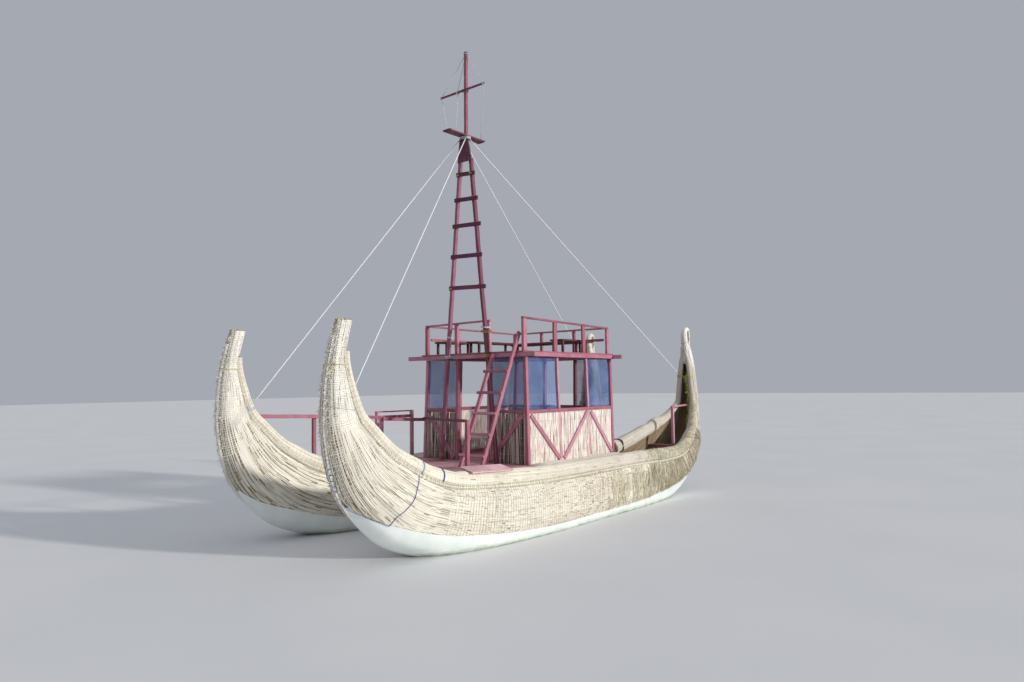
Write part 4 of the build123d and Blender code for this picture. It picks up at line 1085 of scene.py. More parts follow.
def make_column(label, hull, end):
    """The solid bundle at the top of the stem (+1) or the stern (-1)."""
    bag = Bag()
    seed = 300 + 10 * int(hull) + int(end)
    tip = ARC - 0.16 if end < 0 else ARC
    u0, u1 = (0.0, 3.12) if end > 0 else (23.95, 25.0)
    n, m = (46, 30) if end > 0 else (14, 26)
    a = np.linspace(a_at(u0), a_at(u1), n)
    ring = []
    for side in (1, -1):
        U = np.broadcast_to(u_at(a)[:, None], (n, m // 2))
        S = station(U)
        top, _ = top_of(S, U, side)
        s = top * (np.linspace(0.02, 1, m // 2)[None] if side > 0 else np.linspace(1, 0.02, m // 2)[None])
        P, N = surf(U, s, hull, side)
        sunk = 0.004 + 0.030 * smooth(U, 2.9, 3.12)[..., None] if end > 0 else 0.004
        P = P - N * sunk
        if end < 0:
            mid = np.array([-5.02 + SHIFT, hull * HULL_Y, 0.0])
            pull = 0.26 * smooth(U, 24.55, 25.0)[..., None] * np.array([1.0, 1.0, 0.0])
            P = P + (mid - P) * pull
        ring.append(P)
    V = np.concatenate(ring, 1)
    G = np.stack([np.broadcast_to(a[:, None], (n, m)), np.broadcast_to(np.linspace(0, 1, m)[None], (n, m)), np.zeros((n, m))], -1)
    f = grid_faces(n, m, True)
    if hull > 0:
        f = f[:, ::-1]
    fan = np.array([[0, j + 1, j] for j in range(1, m - 1)])
    caps = np.concatenate([fan, fan[:, ::-1] + (n - 1) * m])
    if hull < 0:
        caps = caps[:, ::-1]
    bag.add(V.reshape(-1, 3), f, caps, 1, 0.5, G.reshape(-1, 3))
    part = "bow" if end > 0 else "stern"
    for side in (1, -1):
        lay_reeds(bag, hull, side, 0.0082, 0.08, 0.075, seed + side, part, 0.08)
        where = np.arange(a_at(0.06), a_at(3.05), 0.031) if end > 0 else np.arange(a_at(24.05), a_at(24.6), 0.044)
        sew_cords(bag, hull, side, where, seed + 4 + side, 0, 0.0046, 0.0118, 0.55)
    # reeds down the back of the column, between the rolls
    r = np.random.default_rng(seed + 7)
    lanes, k = 22, 40 if end > 0 else 10
    aa = np.linspace(a_at(u0) + 0.002, a_at(u1), k)
    U = np.broadcast_to(u_at(aa), (lanes, k))
    S = station(U)
    top, ty = top_of(S, U, 1)
    y = (2 * (np.arange(lanes) + 0.5) / lanes - 1)[:, None] * (ty + 0.004) + waves(lanes, aa, 0.004, 0.6, r)
    s = top + 0.006 * np.cos(y / np.maximum(ty, 0.01) * 1.5)
    P = np.stack([S["x"] + s * np.cos(S["deg"]) + SHIFT, hull * (HULL_Y + y), S["z"] + s * np.sin(S["deg"]) + DRAFT], -1)
    N = np.stack([np.cos(S["deg"]), 0 * s, np.sin(S["deg"])], -1)
    keep = r.random((lanes, k - 1)) > 0.04
    strands(bag, P + N * 0.004 * r.random((lanes, 1, 1)), N, 0.62 * 2 * ty / lanes, keep, r.random(lanes), 0, OPEN, False, 0.7)
    # the chopped top
    e = 0.0 if end > 0 else 25.0
    S = station(np.array([e]))
    c, dx, dz = S["out"][0] / 2, math.cos(S["deg"][0]), math.sin(S["deg"][0])
    centre = np.array([S["x"][0] + c * dx + SHIFT, hull * HULL_Y, S["z"][0] + c * dz + DRAFT])
    axis = np.array([-0.24 * end, 0, 1.0]) if end > 0 else np.array([0.25, 0, 1.0])
    if end > 0:
        cut_end(bag, centre, axis, (1, 0, 0), 0.104, 210, 2, seed + 8, 0.07, 0.011, 0.90)
        r2 = np.random.default_rng(seed + 9)
        n2 = 150
        th = r2.random(n2) * 6.283
        P0 = centre + np.stack([0.103 * np.cos(th), 0.094 * np.sin(th), -0.03 - 0.02 * r2.random(n2)], -1)
        D = unit(np.stack([0.10 * np.cos(th) - 0.2, 0.10 * np.sin(th), 1 + 0 * th], -1) + 0.07 * r2.standard_normal((n2, 3)))
        whiskers(bag, P0, D, 0.035 + 0.035 * r2.random(n2), 0.0045, 2, seed + 10, 0.1, 0, 3)
    else:
        cut_end(bag, centre, axis, (1, 0, 0), 0.060, 60, 2, seed + 8, 0.06, 0.008, 0.95)
    name = "bow" if end > 0 else "stern"
    place(f"{label}_{name}_column", bag, [M_BOW, M_CORE, M_END], [f"{label}_{name}_horn"])


def make_roll(label, hull):
    seed = 500 + 10 * int(hull)
    # Outboard roll.
    bag = Bag()
    a, U, C, up, R = roll_path(a_at(1.0), a_at(24.9), hull, 1, 0.115)
    R = R * (1 - 0.55 * smooth(U, 23.9, 24.9))
    R = R * (1 + 0.018 * np.sin(a * 5.1) + 0.012 * np.sin(a * 11.7 + 1))
    pinch = 0
    for x, d in ((3.62, .07), (0.9, .03), (-0.7, .03), (-2.72, .15), (-3.3, .06), (-3.98, .13), (-4.3, .08), (-4.62, .10), (4.9, 0.05)):
        pinch = pinch + d * np.exp(-((a - a_of_x(x)) / 0.07) ** 2)
    R = R * (1 - pinch)
    tube(bag, C, R, up, 104, 0, seed, 1, twist=0.04, width=0.70, gap=0.012, spread=0.16)
    cut_end(bag, C[0], C[0] - C[2], (1, 0, 0), R[0] * 0.97, 60, 2, seed + 1, 0.05, 0.010)
    # tufts on the roll near the stern
    r = np.random.default_rng(seed + 3)
    n = 1500
    aa = a_of_x(-1.70) + (a_at(21.8) - a_of_x(-1.70)) * r.random(n) ** 0.55
    UU = u_at(aa)
    S = station(UU)
    th = -0.2 + 2.6 * r.random(n)
    es = np.stack([np.cos(S["deg"]), 0 * aa, np.sin(S["deg"])], -1)
    ey = np.stack([0 * aa, np.full(n, hull), 0 * aa], -1)
    c0 = np.stack([S["x"] + S["out"] * np.cos(S["deg"]) + SHIFT, hull * (HULL_Y + S["grip"]), S["z"] + S["out"] * np.sin(S["deg"]) + DRAFT], -1)
    k = 6
    t = np.linspace(0, 1, k)[None]
    sweep = 0.5 + 1.0 * r.random((n, 1))
    ang = th[:, None] + sweep * t
    rad = (S["roll"][:, None] + 0.004 + 0.010 * r.random((n, 1)) + 0.02 * t ** 3 * r.random((n, 1)))
    N = np.cos(ang)[..., None] * es[:, None] + np.sin(ang)[..., None] * ey[:, None]
    P = c0[:, None] + rad[..., None] * N
    tang = unit(np.stack([np.gradient(_x, _a)[np.clip((UU * 100).astype(int), 0, 2500)], 0 * aa, np.gradient(_S["z"], _a)[np.clip((UU * 100).astype(int), 0, 2500)]], -1))
    P = P + tang[:, None] * (0.06 * r.standard_normal((n, 1)) * t)[..., None]
    strands(bag, P, N, 0.0046 * (1 - 0.4 * t) * (0.6 + 0.7 * r.random((n, 1))), None, r.random(n), 3, (-1.6, 0, 1.6))
    place(f"{label}_outboard_roll_reeds", bag, [M_ROLL, M_SKIN_SHADED, M_END, M_SHAG], [f"{label}_outboard_roll"])
    # Inboard roll, forward.
    bag = Bag()
    a, U, C, up, R = roll_path(a_at(1.0), a_at(9.82), hull, -1, 0.10)
    tube(bag, C, R * (1 + 0.015 * np.sin(a * 6.3)), up, 92, 0, seed + 5, 1, twist=-0.04, width=0.70, gap=0.012, spread=0.16)
    cut_end(bag, C[0], C[0] - C[2], (1, 0, 0), R[0] * 0.97, 60, 2, seed + 6, 0.05, 0.010)
    cut_end(bag, C[-1], C[-1] - C[-3], (0, 0, 1), R[-1] * 0.97, 150, 2, seed + 7, 0.05, 0.012)
    place(f"{label}_inboard_roll_bow_reeds", bag, [M_ROLL, M_SKIN_SHADED, M_END], [f"{label}_inboard_roll_forward"])
    # Inboard roll, aft: a lower bundle, and an upper one that laps over it and tapers out.
    bag = Bag()
    a, U, C, up, R = roll_path(a_at(15.0), a_at(20.2), hull, -1, 0.09)
    R = R * (1 - 0.55 * smooth(U, 18.3, 20.2)) * (1 + 0.02 * np.sin(a * 7))
    R = R * (1 - 0.07 * np.exp(-((a - a[0] - 0.22) / 0.05) ** 2))
    tube(bag, C, R, up, 84, 0, seed + 8, 1, width=0.70, gap=0.015)
    cut_end(bag, C[0], C[0] - C[2], (0, 0, 1), R[0] * 0.97, 170, 2, seed + 9, 0.05, 0.014)
    T0 = unit(C[4] - C[0])
    coil(bag, C[0] + T0 * 0.22, T0, (0, 0, 1), R[2] + 0.004, R[2] + 0.004, 3, 0.007, 3, seed=1, per=30)
    a, U, C, up, R = roll_path(a_at(24.9), a_at(16.9), hull, -1, 0.10)
    R = R * (1 - 0.55 * smooth(U, 23.9, 24.9))
    lap = smooth(-U, -20.0, -17.6)
    C = C + up * (0.062 * lap)[:, None]
    R = R * (1.0 - 0.70 * smooth(-U, -18.6, -16.9)) * (1 + 0.015 * np.sin(a * 6))
    tube(bag, C, R, up, 80, 0, seed + 10, 1, width=0.70, gap=0.015)
    cut_end(bag, C[-1], C[-1] - C[-3], (0, 0, 1), R[-1] * 0.9, 26, 2, seed + 12, 0.05, 0.02)
    place(f"{label}_inboard_roll_stern_reeds", bag, [M_ROLL, M_SKIN_SHADED, M_END, M_DARK], [f"{label}_inboard_roll_aft"])


TAIL = [(-5060, 3060, 128), (-5030, 3200, 118), (-5000, 3320, 103), (-4972, 3430, 84), (-4950, 3520, 77), (-4936, 3620, 75), (-4952, 3702, 70),
        (-4992, 3764, 62), (-5062, 3801, 52), (-5142, 3776, 38), (-5190, 3700, 26), (-5204, 3600, 21), (-5186, 3505, 22), (-5150, 3425, 40),
        (-5122, 3320, 76), (-5114, 3200, 92)]


def make_tail(label, hull):
    bag = Bag()
    pts = np.array([[x / 1000 + SHIFT, hull * HULL_Y, z / 1000 + DRAFT] for x, z, _ in TAIL])
    C = curve_points(pts, 0.022)
    R = np.interp(np.linspace(0, 1, len(C)), np.linspace(0, 1, len(TAIL)), [r / 1000 for *_, r in TAIL])
    R = R - 0.003
    up = np.broadcast_to(np.array([0.0, 1, 0]), C.shape)
    tube(bag, C, R, up, 42, 0, 700 + int(hull), 1, twist=1.3, width=0.72, gap=0.02, flat=0.7)
    for i, f in enumerate((0.30, 0.62, 0.78)):
        j = int(f * (len(C) - 1))
        T = unit(C[min(j + 1, len(C) - 1)] - C[j - 1])
        coil(bag, C[j], T, (0, 1, 0), R[j] + 0.004, R[j] + 0.004, 2.5, 0.0026, 2, seed=i, per=20)
    place(f"{label}_stern_tail_reeds", bag, [M_BOW, M_SKIN_SHADED, M_STITCH], [f"{label}_stern_tail"])


def make_float(label, hull):
    """The pale moulded float, smooth between its sections, with a rounded top edge that stands a little proud."""
    bag = Bag()
    n, m = 150, 15
    a = np.linspace(a_at(6.0), a_at(19.0), n)
    U = np.broadcast_to(u_at(a)[:, None], (n, m))
    S = station(U)
    rows = []
    for side in (1, -1):
        top, ty = top_of(S, U, 1)
        f = np.linspace(0, 1, m)[None]
        s = S["band"] * f
        b = breadth(S, s, top, ty) + 0.004 * smooth(f, 0.9, 0.97) * np.ones_like(s)
        P = np.stack([S["x"] + s * np.cos(S["deg"]) + SHIFT, hull * (HULL_Y + side * b), S["z"] + s * np.sin(S["deg"]) + DRAFT], -1)
        lip = P[:, -1:].copy()
        lip[..., 1] -= hull * side * 0.016
        lip[..., 2] += 0.002
        rows.append(np.concatenate([P, lip], 1) if side > 0 else np.concatenate([P, lip], 1)[:, ::-1])
    V = np.concatenate(rows, 1)
    w = V.shape[1]
    f = grid_faces(n, w, True)
    if hull > 0:
        f = f[:, ::-1]
    fan = np.array([[0, j + 1, j] for j in range(1, w - 1)])
    caps = np.concatenate([fan, fan[:, ::-1] + (n - 1) * w])
    if hull < 0:
        caps = caps[:, ::-1]
    bag.add(V.reshape(-1, 3), f, caps, 0, 0.5)
    place(f"{label}_float_skin", bag, [M_FLOAT], [f"{label}_float"], 50)


for label, hull in (("port", 1), ("starboard", -1)):
    make_side(label, hull, 1)
    make_side(label, hull, -1)
    make_column(label, hull, 1)
    make_column(label, hull, -1)
    make_roll(label, hull)
    make_tail(label, hull)
    make_float(label, hull)

# ======================================================================================= timber

def solids(node):
    """The separate solids of a CAD node, each as its own corner points."""
    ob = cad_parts[node]
    co = np.array([v.co for v in ob.data.vertices], float).reshape(-1, 3)
    key = np.round(co, 5)
    uniq, inv = np.unique(key, axis=0, return_inverse=True)
    inv = np.asarray(inv).ravel()
    parent = np.arange(len(uniq))

    def find(i):
        while parent[i] != i:
            parent[i] = parent[parent[i]]
            i = parent[i]
        return i
    for e in ob.data.edges:
        i, j = find(inv[e.vertices[0]]), find(inv[e.vertices[1]])
        if i != j:
            parent[i] = j
    groups = {}
    for i in range(len(uniq)):
        groups.setdefault(find(i), []).append(uniq[i])
    return [np.array(g) for g in sorted(groups.values(), key=lambda g: tuple(np.mean(g, 0)))]


def box_axes(pts):
    """Centre and three half-edge vectors, longest first, of eight corner points."""
    c = pts.mean(0)
    d = pts[1:] - pts[0]
    d = d[np.argsort(np.linalg.norm(d, axis=1))]
    e = [d[0]]
    for v in d[1:]:
        if all(abs(unit(v) @ unit(x)) < 0.02 for x in e):
            e.append(v)
        if len(e) == 3:
            break
    e = sorted(e, key=lambda v: -np.linalg.norm(v))
    return c, [v / 2 for v in e]


def timber(bag, c, e, mat, seed, bevel=0.004, rough=0.0011, step=0.13, cup=0.0, warp=0.0):
    """A sawn board or post: worn arrises, faces that aren't quite flat, grain along its length."""
    r = np.random.default_rng(abs(seed))
    L, A, B = (np.linalg.norm(v) for v in e)
    t, x, y = (unit(v) for v in e)
    if np.cross(x, y) @ t < 0:
        y = -y
    k = max(4, int(2 * L / step) + 1)
    f = np.linspace(-1, 1, k)
    f = np.concatenate([[-1], f[:1] + 0.012 / max(L, 0.02) * 0.5, f[1:-1], f[-1:] - 0.012 / max(L, 0.02) * 0.5, [1]])
    b = min(bevel, 0.25 * A, 0.25 * B)
    g = min(0.014, 0.35 * A, 0.35 * B)
    sec, edge = [], []
    for sx, sy in ((1, 1), (-1, 1), (-1, -1), (1, -1)):
        p = [(sx * A, sy * (B - g)), (sx * A, sy * (B - b)), (sx * (A - b), sy * B), (sx * (A - g), sy * B)]
        w = [0, 1, 1, 0]
        if sx * sy < 0:
            p, w = p[::-1], w[::-1]
        sec += p
        edge += w
    sec, edge = np.array(sec), np.array(edge, float)
    m = len(sec)
    K = len(f)
    V = np.empty((K, m, 3))
    end = np.ones(K)
    end[0] = end[-1] = 1 - 0.6 * b / min(A, B)
    bow1, bow2 = warp * r.standard_normal(), warp * r.standard_normal()
    tw = 0.004 * r.standard_normal()
    u = f * L
    dx = rough * noise1(u * 7 + seed, seed) + bow1 * (1 - f ** 2)
    dy = rough * noise1(u * 6 + 3, seed + 1) + bow2 * (1 - f ** 2)
    for i in range(K):
        q = sec * end[i] + (rough * 0.5) * r.standard_normal((m, 1)) * edge[:, None] * 0.8
        if cup:
            q = q + np.stack([0 * q[:, 0], cup * (1 - (q[:, 0] / A) ** 2)], -1)
        th = tw * f[i]
        qx = q[:, 0] * math.cos(th) - q[:, 1] * math.sin(th) + dx[i]
        qy = q[:, 0] * math.sin(th) + q[:, 1] * math.cos(th) + dy[i]
        V[i] = c + t * u[i] + qx[:, None] * x + qy[:, None] * y
    off = np.array([r.random() * 40, r.random() * 40, r.random() * 40])
    G = np.stack([np.broadcast_to(u[:, None], (K, m)) + off[0], np.broadcast_to(sec[:, 0], (K, m)) + off[1],
                  np.broadcast_to(sec[:, 1], (K, m)) + off[2]], -1)
    wear = np.broadcast_to(edge, (K, m)).copy()
    wear[0] = wear[-1] = 1.0
    fc = grid_faces(K, m, True)
    fan = np.array([[0, j + 1, j] for j in range(1, m - 1)])
    caps = np.concatenate([fan, fan[:, ::-1] + (K - 1) * m])
    bag.add(V.reshape(-1, 3), fc, caps, mat, r.random(), G.reshape(-1, 3), wear.ravel())


def timber_piece(node, material, slot, mats=None, pick=None, seed=0, **kw):
    bag = Bag()
    for i, pts in enumerate(solids(node)):
        if len(pts) != 8:
            print("not a plain bar:", node, len(pts))
            continue
        c, e = box_axes(pts)
        timber(bag, c, e, 0 if pick is None else pick(i, c), 1000 + seed * 53 + i, **kw)
    ob = place(f"{node}_timber", bag, mats or [material], [node], 40)
    return ob


for i, (node, material, slot, kw) in enumerate([
        ("hull_thwarts", M_RAW, "raw_wood", {"rough": 0.002}),
        ("deck_beams", M_DECK, "deck_wood", {}),
        ("front_deck_planks", M_DECK, "deck_wood", {"cup": 0.0012, "bevel": 0.003}),
        ("cabin_floor_planks", M_DECK, "deck_wood", {"cup": 0.0012, "bevel": 0.003}),
        ("port_step_plank", M_STEP, "deck_wood", {"rough": 0.002}),
        ("cabin_posts", M_RED, "red_wood", {}),
        ("cabin_wall_rails", M_RED, "red_wood", {}),
        ("cabin_braces", M_RED, "red_wood", {}),
        ("roof_beams", M_RED, "red_wood", {"rough": 0.0016}),
        ("roof_planks", M_RED, "red_wood", {"cup": 0.001, "bevel": 0.003}),
        ("roof_fascias", M_RED, "red_wood", {"rough": 0.0016}),
        ("roof_rail_posts", M_RED, "red_wood", {}),
        ("roof_rails", M_RED, "red_wood", {"rough": 0.0016}),
        # roof benches: the dark painted-shade copy of the red paint
        ("roof_benches", M_RED_SHADED, "red_wood", {}),
        ("ladder_stiles", M_RED, "red_wood", {"rough": 0.0016}),
        ("ladder_rungs", M_RED, "red_wood", {}),
        # mast legs: mast paint, partly painted shade
        ("mast_legs", M_MAST_PAINT_AND_SHADE, "mast_wood", {"rough": 0.002}),
        # mast rungs: the mast paint's darker painted-shade copy
        ("mast_rungs", M_MAST_SHADED, "mast_wood", {}),
        ("topmast", M_RED, "mast_wood", {"rough": 0.002}),
        ("barrier_post", M_RED, "red_wood", {"rough": 0.0016}),
        # barrier pole: the dark painted-shade copy of the red paint
        ("barrier_pole", M_RED_SHADED, "red_wood", {"rough": 0.002}),
        ("starboard_handrail", M_RED, "red_wood", {"rough": 0.0016}),
        ("handrail_posts", M_RED, "red_wood", {}),
        ("starboard_side_rail", M_RED, "red_wood", {}),
        ("stern_rail", M_RED, "red_wood", {})]):
    if node == "hull_thwarts":
        kw = {**kw, "mats": [M_RAW, M_RED], "pick": lambda i, c: 1 if c[0] < -2.0 else 0}
    timber_piece(node, material, slot, seed=i, **kw)

# The gusset board at the mast's neck: a tapered plate with worn edges.
bag = Bag()
pts = solids("mast_gusset")[0]
xs = sorted(set(np.round(pts[:, 0], 4)))
front = pts[np.abs(pts[:, 0] - xs[-1]) < 1e-3]
front = front[np.argsort(np.arctan2(front[:, 2] - front[:, 2].mean(), front[:, 1] - front[:, 1].mean()))]
rows = []
for dx, inset in ((0, 0.004), (0, 0.0), (xs[0] - xs[-1], 0.0), (xs[0] - xs[-1], 0.004)):
    c = front.mean(0)
    ring = []
    for i in range(4):
        a0, a1 = front[i], front[(i + 1) % 4]
        for f in np.linspace(0, 1, 7)[:-1]:
            p = a0 + (a1 - a0) * f
            ring.append(p + unit(c - p) * inset + np.array([dx, 0, 0]))
    rows.append(ring)
rows = np.array(rows)
rows[1, :, 0] -= 0.004
rows[2, :, 0] += 0.004
m = rows.shape[1]
rows[:, :, 1] += 0.0012 * np.random.default_rng(3).standard_normal((1, m))
mid = rows[0].mean(0)[None]
V = np.vstack([rows.reshape(-1, 3), mid, rows[-1].mean(0)[None]])
fc = grid_faces(4, m, True)[:, ::-1]
t0 = [[4 * m, j, (j + 1) % m] for j in range(m)]
t1 = [[4 * m + 1, 3 * m + (j + 1) % m, 3 * m + j] for j in range(m)]
wear = np.concatenate([np.tile([1.0], m), np.ones(m), np.ones(m), np.ones(m), [0, 0]])
G = np.stack([V[:, 2], V[:, 1], V[:, 0]], -1)
bag.add(V, fc, np.array(t0 + t1), 0, 0.3, G, wear)
# Cross plank with the topmast through it: two long boards each side of the hole and the blocks between.
pts = solids("mast_cross_plank")[0]
lo, hi = pts.min(0), pts.max(0)
hx0, hx1 = sorted(set(np.round(pts[:, 0], 3)))[1:3] if len(set(np.round(pts[:, 0], 3))) >= 4 else (1.08, 1.146)
hy0, hy1 = sorted(set(np.round(pts[:, 1], 3)))[1:3]
zc, zh = (lo[2] + hi[2]) / 2, (hi[2] - lo[2]) / 2
half = lambda a, b: (b - a) / 2
for i, (x0, x1, y0, y1) in enumerate([(lo[0], hi[0], lo[1], hy0), (lo[0], hi[0], hy1, hi[1]), (lo[0], hx0, hy0, hy1), (hx1, hi[0], hy0, hy1)]):
    timber(bag, np.array([(x0 + x1) / 2, (y0 + y1) / 2, zc]), [np.array([half(x0, x1), 0, 0]), np.array([0, half(y0, y1), 0]), np.array([0, 0, zh])],
           0, 1900 + i, bevel=0.0015 if i > 1 else 0.004)
# The masthead boards take the mast paint's darker painted-shade copy.
place("masthead_boards", bag, [M_MAST_SHADED], ["mast_gusset", "mast_cross_plank"], 40)

# The yard: a round pole, knotty and tapered a little.
bag = Bag()
lo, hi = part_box("yard")
zc = (lo.z + hi.z) / 2
n = 26
y = np.linspace(lo.y, hi.y, n)
r = np.random.default_rng(8)
C = np.stack([np.full(n, (lo.x + hi.x) / 2), y, zc + 0.0025 * (y - y.mean())], -1)
R = 0.0225 * (1 - 0.10 * np.abs(np.linspace(-1, 1, n)) ** 2) * (1 + 0.03 * r.standard_normal(n))
T = np.array([0, 1.0, 0])
m = 12
th = 2 * math.pi * np.arange(m) / m
V = C[:, None] + (R[:, None] * (1 + 0.02 * r.standard_normal((1, m))))[..., None] * np.stack([np.cos(th), 0 * th, np.sin(th)], -1)[None]
G = np.stack([np.broadcast_to(y[:, None], (n, m)), np.broadcast_to(0.02 * np.cos(th), (n, m)), np.broadcast_to(0.02 * np.sin(th), (n, m))], -1)
fan = np.array([[0, j + 1, j] for j in range(1, m - 1)])
bag.add(V.reshape(-1, 3), grid_faces(n, m, True), np.concatenate([fan, fan[:, ::-1] + (n - 1) * m]), 0, 0.2, G.reshape(-1, 3), 0.4)
place("yard_pole", bag, [M_MAST_PAINT_AND_SHADE], ["yard"], 40)

# ======================================================================================= cabin walls

def panel_frame(pts):
    """A wall panel's eight corners as its outer face (bottom left, bottom right, top right, top left) and the way in."""
    z = pts[:, 2]
    low, high = pts[z < z.mean()], pts[z >= z.mean()]
    c = pts.mean(0)
    span = low.max(0) - low.min(0)
    wide = 0 if span[0] > span[1] else 1
    thin = 1 - wide
    out = np.sign(c[thin])
    def pick(group):
        g = group[np.argsort(group[:, thin] * out)][-2:]
        return g[np.argsort(g[:, wide])]
    a, b = pick(low)
    d, e = pick(high)
    inward = np.zeros(3)
    inward[thin] = -out
    return a, b, e, d, inward


def canes(bag, pts, seed, gap, lean, dim, back=0):
    """Upright split canes side by side, with gaps, broken ends and two cross ties."""
    r = np.random.default_rng(abs(seed))
    a, b, c, d, inward = panel_frame(pts)
    width = np.linalg.norm(b - a)
    pitch = 0.0098
    k = 6
    for layer, depth in ((0, 0.005), (1, 0.016)):
        n = int(width / pitch)
        f = (np.arange(n) + 0.5 + 0.25 * r.standard_normal(n)) / n
        f = np.clip(f, 0.004, 0.996)
        keep = r.random(n) > (gap if layer == 0 else gap * 0.8)
        f = f[keep]
        n = len(f)
        t = np.linspace(0, 1, k)[None]
        z0 = 0.0 + 0.02 * r.random((n, 1)) * (r.random((n, 1)) < 0.2)
        z1 = 1.0 - 0.03 * r.random((n, 1)) * (r.random((n, 1)) < 0.3)
        tt = z0 + (z1 - z0) * t
        g = f[:, None] + lean * r.standard_normal((n, 1)) * (tt - 0.5) + 0.004 * np.sin(tt * 5 + r.random((n, 1)) * 6)
        g = np.clip(g, 0.003, 0.997)
        P = ((a + (b - a) * g[..., None]) * (1 - tt[..., None]) + (d + (c - d) * g[..., None]) * tt[..., None])
        P = P + inward * (depth + 0.0022 * r.standard_normal((n, 1, 1)) + 0.0015 * np.sin(tt * 7 + r.random((n, 1)) * 6)[..., None])
        N = np.broadcast_to(-inward, P.shape)
        R = pitch * 0.56 * (0.75 + 0.5 * r.random((n, 1)))
        tone = np.where(r.random(n) < dim, 0.05 + 0.3 * r.random(n), 0.45 + 0.55 * r.random(n))
        strands(bag, P, N, R, None, tone, layer * back, (-1.7, 0.0, 1.7) if layer == 0 else (1.44, math.pi, 4.84), False, 0.75)
        # Walls given a back material get near-black rear canes and a wider near-black layer behind them: painted shade
        # seen through the gaps.
        if layer and back:
            strands(bag, P - inward * 0.002, N, R * 1.5, None, tone * 0.6, back, (-1.7, 0.0, 1.7), False, 0.4)
    for z in (0.18, 0.52, 0.84):
        p0, p1 = a + (d - a) * z, b + (c - b) * z
        n = 22
        t = np.linspace(0, 1, n)
        C = p0 + (p1 - p0) * t[:, None] + inward * -0.003 + np.array([0, 0, 1.0]) * (0.003 * np.sin(t * 31))[:, None]
        rope(bag, C, 0.0022, 1, raw=True, sides=4)


# The front walls take the darker cane copy and a near-black layer behind their gaps: painted shade.
for i, (wall, gap, lean) in enumerate((("port", 0.025, 0.004), ("starboard", 0.025, 0.004), ("front", 0.36, 0.026), ("aft", 0.05, 0.010))):
    bag = Bag()
    for j, pts in enumerate(solids(f"{wall}_reed_panels")):
        canes(bag, pts, 2000 + 40 * i + j, gap, lean, 0.30 if wall == "front" else 0.06, 2 if wall == "front" else 0)
    place(f"{wall}_cane_walls", bag, [M_CANE_SHADED if wall == "front" else M_CANE, M_MAT_CORD, M_CANE_SHADE_BACKING][:3 if wall == "front" else 2],
          [f"{wall}_reed_panels"])

# Thin battens that pin the canes to the side walls' middle posts.
bag = Bag()
for side, wall in ((1, "port"), (-1, "starboard")):
    a, b, c, d, inward = panel_frame(solids(f"{wall}_reed_panels")[0])
    for i, x in enumerate((0.015 + SHIFT, -0.948 + SHIFT)):
        p = a + (b - a) * ((x - a[0]) / (b[0] - a[0]))
        q = d + (c - d) * ((x - d[0]) / (c[0] - d[0]))
        p, q = p + (q - p) * 0.045, p + (q - p) * 0.995
        timber(bag, (p + q) / 2 + inward * 0.0015, [(q - p) / 2, np.array([0.036 - 0.007 * i, 0, 0]), inward * 0.0035], 0, 2600 + 10 * i + side,
               bevel=0.0015, rough=0.0008)
place("wall_battens", bag, [M_BATTEN], (), 40)

# Window film: thin sheets, tacked at their edges and slightly slack between.
bag = Bag()
for i, pts in enumerate(solids("window_panes")):
    a, b, c, d, inward = panel_frame(pts)
    r = np.random.default_rng(2500 + i)
    n = 14
    U, V = np.meshgrid(np.linspace(0, 1, n), np.linspace(0, 1, n))
    P = (a + (b - a) * U[..., None]) * (1 - V[..., None]) + (d + (c - d) * U[..., None]) * V[..., None]
    edge = np.clip(np.minimum(np.minimum(U, 1 - U), np.minimum(V, 1 - V)) / 0.12, 0, 1)
    wv = sum(np.sin(U * (3 + 14 * r.random()) + V * (4 + 18 * r.random()) + 6 * r.random()) for _ in range(5)) / 5
    P = P + inward * (0.002 + 0.006 * edge * wv)[..., None]
    Q = P + inward * 0.0008
    f = grid_faces(n, n)
    nn = n * n
    nrm = np.cross(P[0, 1] - P[0, 0], P[1, 0] - P[0, 0])
    if nrm @ inward > 0:
        f = f
    else:
        f = f[:, ::-1]
    idx = np.arange(nn).reshape(n, n)
    loop = np.concatenate([idx[0], idx[1:, -1], idx[-1, :-1][::-1], idx[1:-1, 0][::-1]])
    nxt = np.roll(loop, -1)
    rim = np.stack([loop, nxt, nxt + nn, loop + nn], -1)
    bag.add(np.concatenate([P.reshape(-1, 3), Q.reshape(-1, 3)]), np.concatenate([f, f[:, ::-1] + nn, rim if nrm @ inward > 0 else rim[:, ::-1]]), None, 0, 0.5)
place("window_film_sheets", bag, [M_FILM], ["window_panes"])

# ======================================================================================= reeds at the walls' feet, nails

